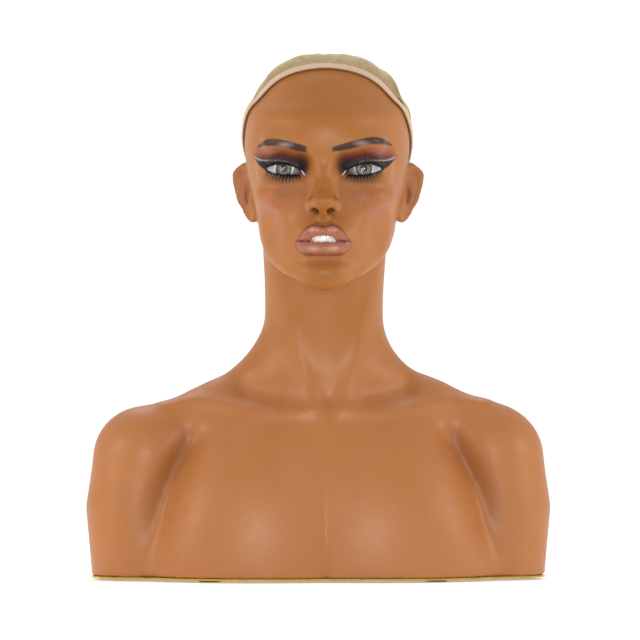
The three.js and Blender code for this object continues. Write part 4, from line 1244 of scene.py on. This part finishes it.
@dataclass
class LashStrip:
    """A strip of tapered fibres in uneven clusters along one lid."""

    form: BustForm
    label: str
    side: int
    lid: LidEdge
    radius: float = 0.31
    band: float = 2.3
    joints: int = 7

    def build(self, strands: bpy.types.NodeTree, fibre: bpy.types.Material) -> bpy.types.Object:
        """Roots the hairs on the lid and curls them off it."""
        name, up, count, length, (start, end) = self.lid.value
        rng = random.Random(f"{self.label} {name}")
        lids = self.form.head.lids
        lines, tapers = [], []
        places = [0.05 + 0.92 * (i + 0.5) / count for i in range(count)]
        edge = lids.upper if up > 0 else lids.lower
        roots = edge(np.array(places)) + up * (0.5 if up > 0 else 0.9)
        fronts = self.lid_fronts(np.array([lids.across(t) for t in places]), roots)
        for i, (t, y, z) in enumerate(zip(places, fronts, roots)):
            cluster = (i % 4 - 1.5) / 1.5
            ax = lids.across(t)
            size = length * (0.55 + 0.55 * math.sin(math.pi * min(t * 0.9 + 0.05, 1)) ** 0.8)
            size *= (0.62 if up > 0 else 0.5) if i % 4 == 0 else 1.0
            size *= rng.uniform(0.86, 1.08)
            fan = (t - 0.28) * 0.75 - cluster * 0.13 + rng.uniform(-0.05, 0.05)
            p = np.array([ax, y + 0.35, z])
            line, step = [p], size / (self.joints - 1)
            for j in range(1, self.joints):
                bend = math.radians(start + (end - start) * (j - 0.5) / (self.joints - 1))
                way = np.array([fan * (0.5 + j * 0.12), -math.cos(bend), up * math.sin(bend)])
                p = p + way / np.linalg.norm(way) * step
                line.append(p)
            line = np.array(line) * [self.side, 1, 1]
            lines.append(self.form.place(line, in_head=True))
            tapers.append(np.linspace(1, 0.3, self.joints))
        roots = np.stack([[lids.across(t) for t in places], fronts - 0.3, roots], 1) * [self.side, 1, 1]
        if up > 0:
            lines.append(self.form.place(roots, in_head=True))
            tapers.append(self.band * np.sin(np.linspace(0.3, math.pi - 0.3, count)))
        obj = drawn_lines(f"{self.label}_{name}_lash_strip", lines, tapers)
        Growth.harvest(obj, strands, Radius=self.radius * MM, Sides=4, Material=fibre)
        return hand_over(obj, [f"{self.label}_{name}_lashes"], BUST)

    def lid_fronts(self, ax: np.ndarray, z: np.ndarray) -> np.ndarray:
        """Depth of the lid's skin at points seen from the front."""
        origin = np.stack([ax, np.full(len(ax), -45.0), z], 1)
        way = np.tile([0.0, -1.0, 0.0], (len(ax), 1))
        return -45.0 - reach(lambda x, y, h: self.form.head((x, y, h)), origin, way, 50.0)


@dataclass
class ToothPlate:
    """A moulded row of teeth behind the parted lips."""

    form: BustForm
    half_width: float = 12.9
    centre: tuple[float, float] = (-96.2, 314.0)
    height: float = 8.4
    thickness: float = 3.0
    tooth: float = 6.2

    def build(self, plastic: bpy.types.Material) -> bpy.types.Object:
        """Sweeps a rounded section along the arch, pinched between the teeth."""
        rings = []
        around = np.linspace(0, 2 * math.pi, 28, endpoint=False)
        for x in np.linspace(-self.half_width, self.half_width, 91):
            phase = ((x / self.tooth + 0.5) % 1) - 0.5
            pinch = math.exp(-((abs(phase) - 0.5) ** 2) / 0.0035)
            end = min(1.0, (self.half_width - abs(x)) / 1.2 + 0.25)
            deep = self.thickness / 2 * end
            front = self.centre[0] + 0.0115 * x * x + 0.55 * pinch + self.thickness / 2
            c, s = np.cos(around), np.sin(around)
            y = front + deep * np.sign(c) * np.abs(c) ** 0.6
            z = self.centre[1] + self.height / 2 * end * np.sign(s) * np.abs(s) ** 0.6
            rings.append(self.form.place(np.stack([np.full(28, x), y, z], 1), in_head=True))
        obj = lofted("tooth_plate", rings, caps=True)
        return hand_over(obj, ["teeth"], BUST, plastic)


@dataclass
class WigCap:
    """Stretched net dome gathered at the crown, with an elastic tape round its rim."""

    form: BustForm
    tilt: float = math.radians(48.5)
    centre: tuple[float, float, float] = (0.0, 10.0, 416.3)
    net_lift: float = 1.95
    yarn_radius: float = 0.27
    pitch: float = 2.0
    step: float = 3.6
    band_drop: tuple[float, float] = (-9.3, -0.3)
    band_lift: tuple[float, float] = (0.7, 3.3)

    @property
    def axes(self) -> tuple[np.ndarray, np.ndarray, np.ndarray]:
        """Sideways, rim-forward and crown directions in the head's frame."""
        s, c = math.sin(self.tilt), math.cos(self.tilt)
        return np.array([1.0, 0, 0]), np.array([0, -c, s]), np.array([0, s, c])

    def over_scalp(self, around: np.ndarray, climb: np.ndarray, lift: np.ndarray,
                   drop: np.ndarray) -> np.ndarray:
        """Points above the scalp, in head millimetres.

        Args:
            around: angle about the rim from the forehead.
            climb: angle up from the rim plane to the crown.
            lift: height above the scalp.
            drop: offset of the rim plane along the crown direction.

        Returns:
            One point a row.
        """
        side, front, crown = self.axes
        flat = np.cos(around)[:, None] * front + np.sin(around)[:, None] * side
        way = np.cos(climb)[:, None] * flat + np.sin(climb)[:, None] * crown
        from_side = (np.minimum(np.abs(around), 2 * math.pi - np.abs(around)) - 1.13) / 0.45
        dip = 9 * np.exp(-(from_side**2)) * np.cos(climb) ** 2
        origin = np.array(self.centre) + (drop - dip)[:, None] * crown
        far = reach(self.form.scalp, origin, way, 150.0)
        return origin + way * (far + lift)[:, None]

    def net_lines(self) -> list[np.ndarray]:
        """Two crossing families of yarn, laid straight on the flattened dome."""
        flat_radius = 138.0
        lines = []
        count = int(flat_radius / self.pitch)
        for turn in (math.radians(45), math.radians(135)):
            c, s = math.cos(turn), math.sin(turn)
            for i in range(-count, count + 1):
                off = (i + 0.5) * self.pitch
                half = math.sqrt(max(flat_radius**2 - off**2, 0))
                if half < 4:
                    continue
                along = np.linspace(-half, half, max(4, int(2 * half / self.step)))
                lines.append(np.stack([c * along - s * off, s * along + c * off], 1))
        return lines

    def build_net(self, strands: bpy.types.NodeTree, yarn: bpy.types.Material) -> bpy.types.Object:
        """Knits the dome."""
        flats = self.net_lines()
        plan = np.concatenate(flats)
        radius = np.hypot(plan[:, 0], plan[:, 1])
        around = np.arctan2(plan[:, 1], plan[:, 0])
        climb = math.pi / 2 - radius / 138.0 * (math.pi / 2)
        creases = 0.35 * np.sin(around * 23 + 2 * np.sin(around * 5)) * ramp(climb, 1.2, 0.4)
        tuck = 2.6 * np.exp(-(((around - 1.05) / 0.07) ** 2)) * ramp(climb, 1.4, 0.9)
        loose = 0.9 * np.exp(-(((around - 1.6) / 0.5) ** 2)) * ramp(climb, 1.0, 0.3)
        lift = self.net_lift + creases + tuck + loose
        points = self.form.place(
            self.over_scalp(around, climb, lift, np.zeros(len(plan))), in_head=True)
        lengths = np.cumsum([len(line) for line in flats])[:-1]
        lines = np.split(points, lengths)
        obj = drawn_lines("cap_net_yarns", lines, [np.ones(len(line)) for line in lines])
        Growth.harvest(obj, strands, Radius=self.yarn_radius * MM, Sides=3, Material=yarn)
        hand_over(obj, ["cap_net"], WIG_CAP)
        return obj

    def build_band(self, tape: bpy.types.Material) -> bpy.types.Object:
        """Sweeps the ribbed tape round the rim."""
        count, rows = 360, 21
        around = np.linspace(0, 2 * math.pi, count, endpoint=False)
        low, high = self.band_drop
        section = []
        for v in np.linspace(0, 1, rows):
            edge = min(1.0, min(v, 1 - v) / 0.15) ** 0.5
            section.append((v, self.band_lift[0] + 0.35 + (self.band_lift[1] - self.band_lift[0] - 0.35)
                            * (0.2 + 0.8 * edge)))
        section += [(v, self.band_lift[0]) for v in np.linspace(1, 0, 8)]
        loops = [
            self.form.place(self.over_scalp(
                around, np.zeros(count), np.full(count, lift), np.full(count, low + (high - low) * v)),
                in_head=True)
            for v, lift in section
        ]
        obj = lofted("cap_band_tape", loops, loop=True)
        self.map_tape(obj, count, [v for v, _ in section])
        return hand_over(obj, ["cap_band"], WIG_CAP, tape)

    @staticmethod
    def map_tape(obj: bpy.types.Object, count: int, rows: Sequence[float]) -> None:
        """Maps round the rim to U and across the tape to V."""
        layer = obj.data.uv_layers.new(name="tape")
        for face in obj.data.polygons:
            turns = [obj.data.loops[i].vertex_index % count for i in face.loop_indices]
            wraps = max(turns) - min(turns) > count / 2
            for i in face.loop_indices:
                vertex = obj.data.loops[i].vertex_index
                turn = vertex % count
                turn = count if wraps and turn == 0 else turn
                layer.data[i].uv = (turn / count, rows[vertex // count])


@dataclass
class BaseFittings:
    """Edging, board, blocks, screws and pads that close the hollow base."""

    corners: tuple[str, ...] = ("front_left", "front_right", "rear_left", "rear_right")
    screw_shank: float = 3.5
    screw_length: float = 22.0
    pad: float = 20.0
    pad_height: float = 1.7

    @staticmethod
    def repaint(node: str, material: bpy.types.Material) -> None:
        """Gives a CAD node its finish."""
        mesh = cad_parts[node].data
        mesh.materials.clear()
        mesh.materials.append(material)
        LOG.info("%s: %s", node, material.name)

    def points_at(self, prefix: str, name: str) -> bpy.types.Object:
        """Mesh of the bottom centres of the four nodes with this prefix."""
        rows = []
        for corner in self.corners:
            low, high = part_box(f"{prefix}_{corner}")
            rows.append(((low[0] + high[0]) / 2, (low[1] + high[1]) / 2, low[2]))
        return mesh_object(name, np.array(rows), [])

    def screw(self) -> bpy.types.Object:
        """Pan-head wood screw, head down, with a cross recess and a thread."""
        n = 48
        turn = np.linspace(0, 2 * math.pi, n, endpoint=False)
        rings = []
        for r in (0.15, 0.5, 0.9, 1.3, 1.7, 2.1, 2.5, 3.2, 3.8, 4.0):
            x, y = r * np.cos(turn), r * np.sin(turn)
            slots = [np.where(np.abs(a) < 0.62, 2.3 - np.abs(b), 0) for a, b in ((x, y), (y, x))]
            cross = np.maximum(*slots)
            crown = 0.03 * r * r if r < 3.9 else 0.7
            rings.append(np.stack([x, y, crown + np.clip(cross * 1.6, 0, 1.3)], 1) * MM)
        rings.append(np.stack([4 * np.cos(turn), 4 * np.sin(turn), np.full(n, 1.6)], 1) * MM)
        shank = self.screw_shank / 2
        for z in np.linspace(2.0, self.screw_length - 2.4, 96):
            thread = 0.5 + 0.5 * np.cos(turn - z / 1.5 * 2 * math.pi)
            r = shank - 0.55 * (1 - thread) * (1 if z > 3.4 else 0)
            rings.append(np.stack([r * np.cos(turn), r * np.sin(turn), np.full(n, z)], 1) * MM)
        tip = np.full(n, self.screw_length - 0.2)
        rings.append(np.stack([0.25 * np.cos(turn), 0.25 * np.sin(turn), tip], 1) * MM)
        return lofted("screw_pattern", rings, caps=True)

    def foot_pad(self) -> bpy.types.Object:
        """Round pad with a dished, ring-grooved face and a rounded edge."""
        n, top, half = 64, self.pad_height, self.pad / 2
        turn = np.linspace(0, 2 * math.pi, n, endpoint=False)
        outline = [(0.8, 0.35), (3, 0.32), (3.5, 0.6), (4, 0.3), (6.2, 0.22), (6.7, 0.5), (7.2, 0.1)]
        outline += [(9.0, 0.0), (9.6, 0.12), (half, 0.5), (half, top - 0.25), (half - 0.25, top), (1, top)]
        rings = [np.stack([r * np.cos(turn), r * np.sin(turn), np.full(n, z)], 1) * MM for r, z in outline]
        return lofted("pad_pattern", rings, caps=True)

    def build(self) -> None:
        """Makes and dresses every fitting."""
        self.repaint("edge_trim", GlossEdging().material())
        self.repaint("base_board", Timber.FIBREBOARD.material())
        softwood = Timber.SOFTWOOD.material()
        for corner in self.corners:
            self.repaint(f"fixing_block_{corner}", softwood)
        repeats = Growth.repeats()
        for prefix, name, part, finish, slot in (
            ("base_screw", "cross_screws", self.screw(), ZINC_PLATE, "screw_steel"),
            ("pad", "ringed_pads", self.foot_pad(), PAD_RUBBER, "pad_rubber"),
        ):
            obj = self.points_at(prefix, name)
            Growth.harvest(obj, repeats, Part=part, Material=finish.material())
            bpy.data.objects.remove(part)
            hand_over(obj, [f"{prefix}_{c}" for c in self.corners], BUST)


@dataclass
class Studio:
    """Round white room, soft lamps, a small spark lamp for the eyes, and the camera."""

    azimuth: float = -3.8
    elevation: float = 0.4
    room: float = 12.0
    cove: float = 1.6
    sky: float = 0.74
    distance: float = 8.0
    width: float = 0.589
    target: tuple[float, float, float] = (-0.0004, 0.0, 0.2395)

    def lamp(self, name: str, place: Sequence[float], size: float, watts: float,
             warmth: str) -> bpy.types.Object:
        """Adds a square soft lamp aimed at the bust's chest.

        Args:
            name: the lamp's name.
            place: where it stands, in metres.
            size: its side, in metres.
            watts: its power.
            warmth: its colour, as sRGB hex.

        Returns:
            The lamp's object.
        """
        light = bpy.data.lights.new(name, "AREA")
        light.energy, light.size, light.color = watts, size, linear(warmth)[:3]
        obj = bpy.data.objects.new(name, light)
        bpy.context.scene.collection.objects.link(obj)
        obj.location = place
        obj.rotation_mode = "QUATERNION"
        obj.rotation_quaternion = (Vector((0, 0, 0.3)) - Vector(place)).to_track_quat("-Z", "Y")
        return obj

    def build(self) -> None:
        """Sets the floor, the lamps and the camera."""
        cove = np.linspace(0, math.pi / 2, 9)
        rows = [(0.002, 0.0), (4.0, 0.0)]
        rows += [(self.room + self.cove * math.sin(a), self.cove * (1 - math.cos(a))) for a in cove]
        around = np.linspace(0, 2 * math.pi, 96, endpoint=False)
        rings = [np.stack([r * np.cos(around), r * np.sin(around), np.full(96, z)], 1) for r, z in rows]
        floor = lofted("studio_floor", rings)
        paper = Finish("Matt white paper", "#fbfbfb", 0.9, Emission_Color=linear("#ffffff"),
                       Emission_Strength=0.3)
        paper.cover("#f1f1f1", (paper.noise(300, 2.0) - 0.5).ramp(0, 0.3) * 0.3)
        floor.data.materials.append(paper.done())
        world = bpy.data.worlds.new("studio")
        bpy.context.scene.world = world
        world.use_nodes = True
        world.node_tree.nodes["Background"].inputs[0].default_value = linear("#ffffff")
        world.node_tree.nodes["Background"].inputs[1].default_value = self.sky
        self.lamp("key_left", (-1.9, -0.7, 0.9), 0.8, 15, "#fff6ee")
        self.lamp("key_right", (1.9, -0.7, 0.8), 0.8, 14, "#fff8f2")
        spark = self.lamp("eye_spark", (-0.14, -2.1, 0.5), 0.3, 18, "#ffffff")
        spark.visible_diffuse = False
        self.lamp("back_top", (0.0, 1.2, 1.5), 1.0, 7, "#ffffff")
        a, e = math.radians(self.azimuth), math.radians(self.elevation)
        back = Vector((math.sin(a) * math.cos(e), -math.cos(a) * math.cos(e), math.sin(e)))
        camera = bpy.data.cameras.new("camera")
        camera.sensor_width = 36
        camera.lens = 36 * self.distance / self.width
        obj = bpy.data.objects.new("camera", camera)
        bpy.context.scene.collection.objects.link(obj)
        obj.location = Vector(self.target) + back * self.distance
        obj.rotation_mode = "QUATERNION"
        obj.rotation_quaternion = (-back).to_track_quat("-Z", "Y")
        bpy.context.scene.camera = obj
        bpy.context.scene.view_settings.view_transform = "Standard"


def seated_form() -> BustForm:
    """The bust's form, moved so that its eyes sit where the frame's eyes are."""
    iris_ahead = 20.43  # from the eyeball's centre to the middle of the iris disc, in mm
    form = BustForm()
    boxes = [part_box(f"{label}_iris") for label in ("left", "right")]
    seen = sum(np.array(low) + np.array(high) for low, high in boxes) / 4 / MM
    side, centre, height = form.head.eye
    depth = centre - iris_ahead
    guess = np.array([form.from_head((s * side, depth, height)) for s in (-1, 1)]).mean(0)
    return BustForm(shift=(float(seen[0] - guess[0]), float(seen[1] - guess[1])))


def main() -> None:
    """Builds the training head and its studio."""
    form = seated_form()
    LOG.info("form shifted by %.2f, %.2f mm", *form.shift)
    Studio().build()
    BustShell(form).build(PaintedPvc(form).material())
    opal, disc, lens = CastAcrylic().material(), PrintedIris().material(), CastAcrylic(clear=True).material()
    strands, fibre = Growth.strands(), LASH_FIBRE.material()
    for label, side in (("left", -1), ("right", 1)):
        InsetEye(form, label, side).build(opal, disc, lens)
        for lid in LidEdge:
            LashStrip(form, label, side, lid).build(strands, fibre)
    ToothPlate(form).build(TOOTH_PLASTIC.material())
    cap = WigCap(form)
    net = cap.build_net(strands, KnittedNylon().material())
    band = cap.build_band(WovenElastic().material())
    BaseFittings().build()


if __name__ == "__main__":
    logging.basicConfig(level=logging.INFO, format="%(relativeCreated)d ms  %(message)s")
    main()
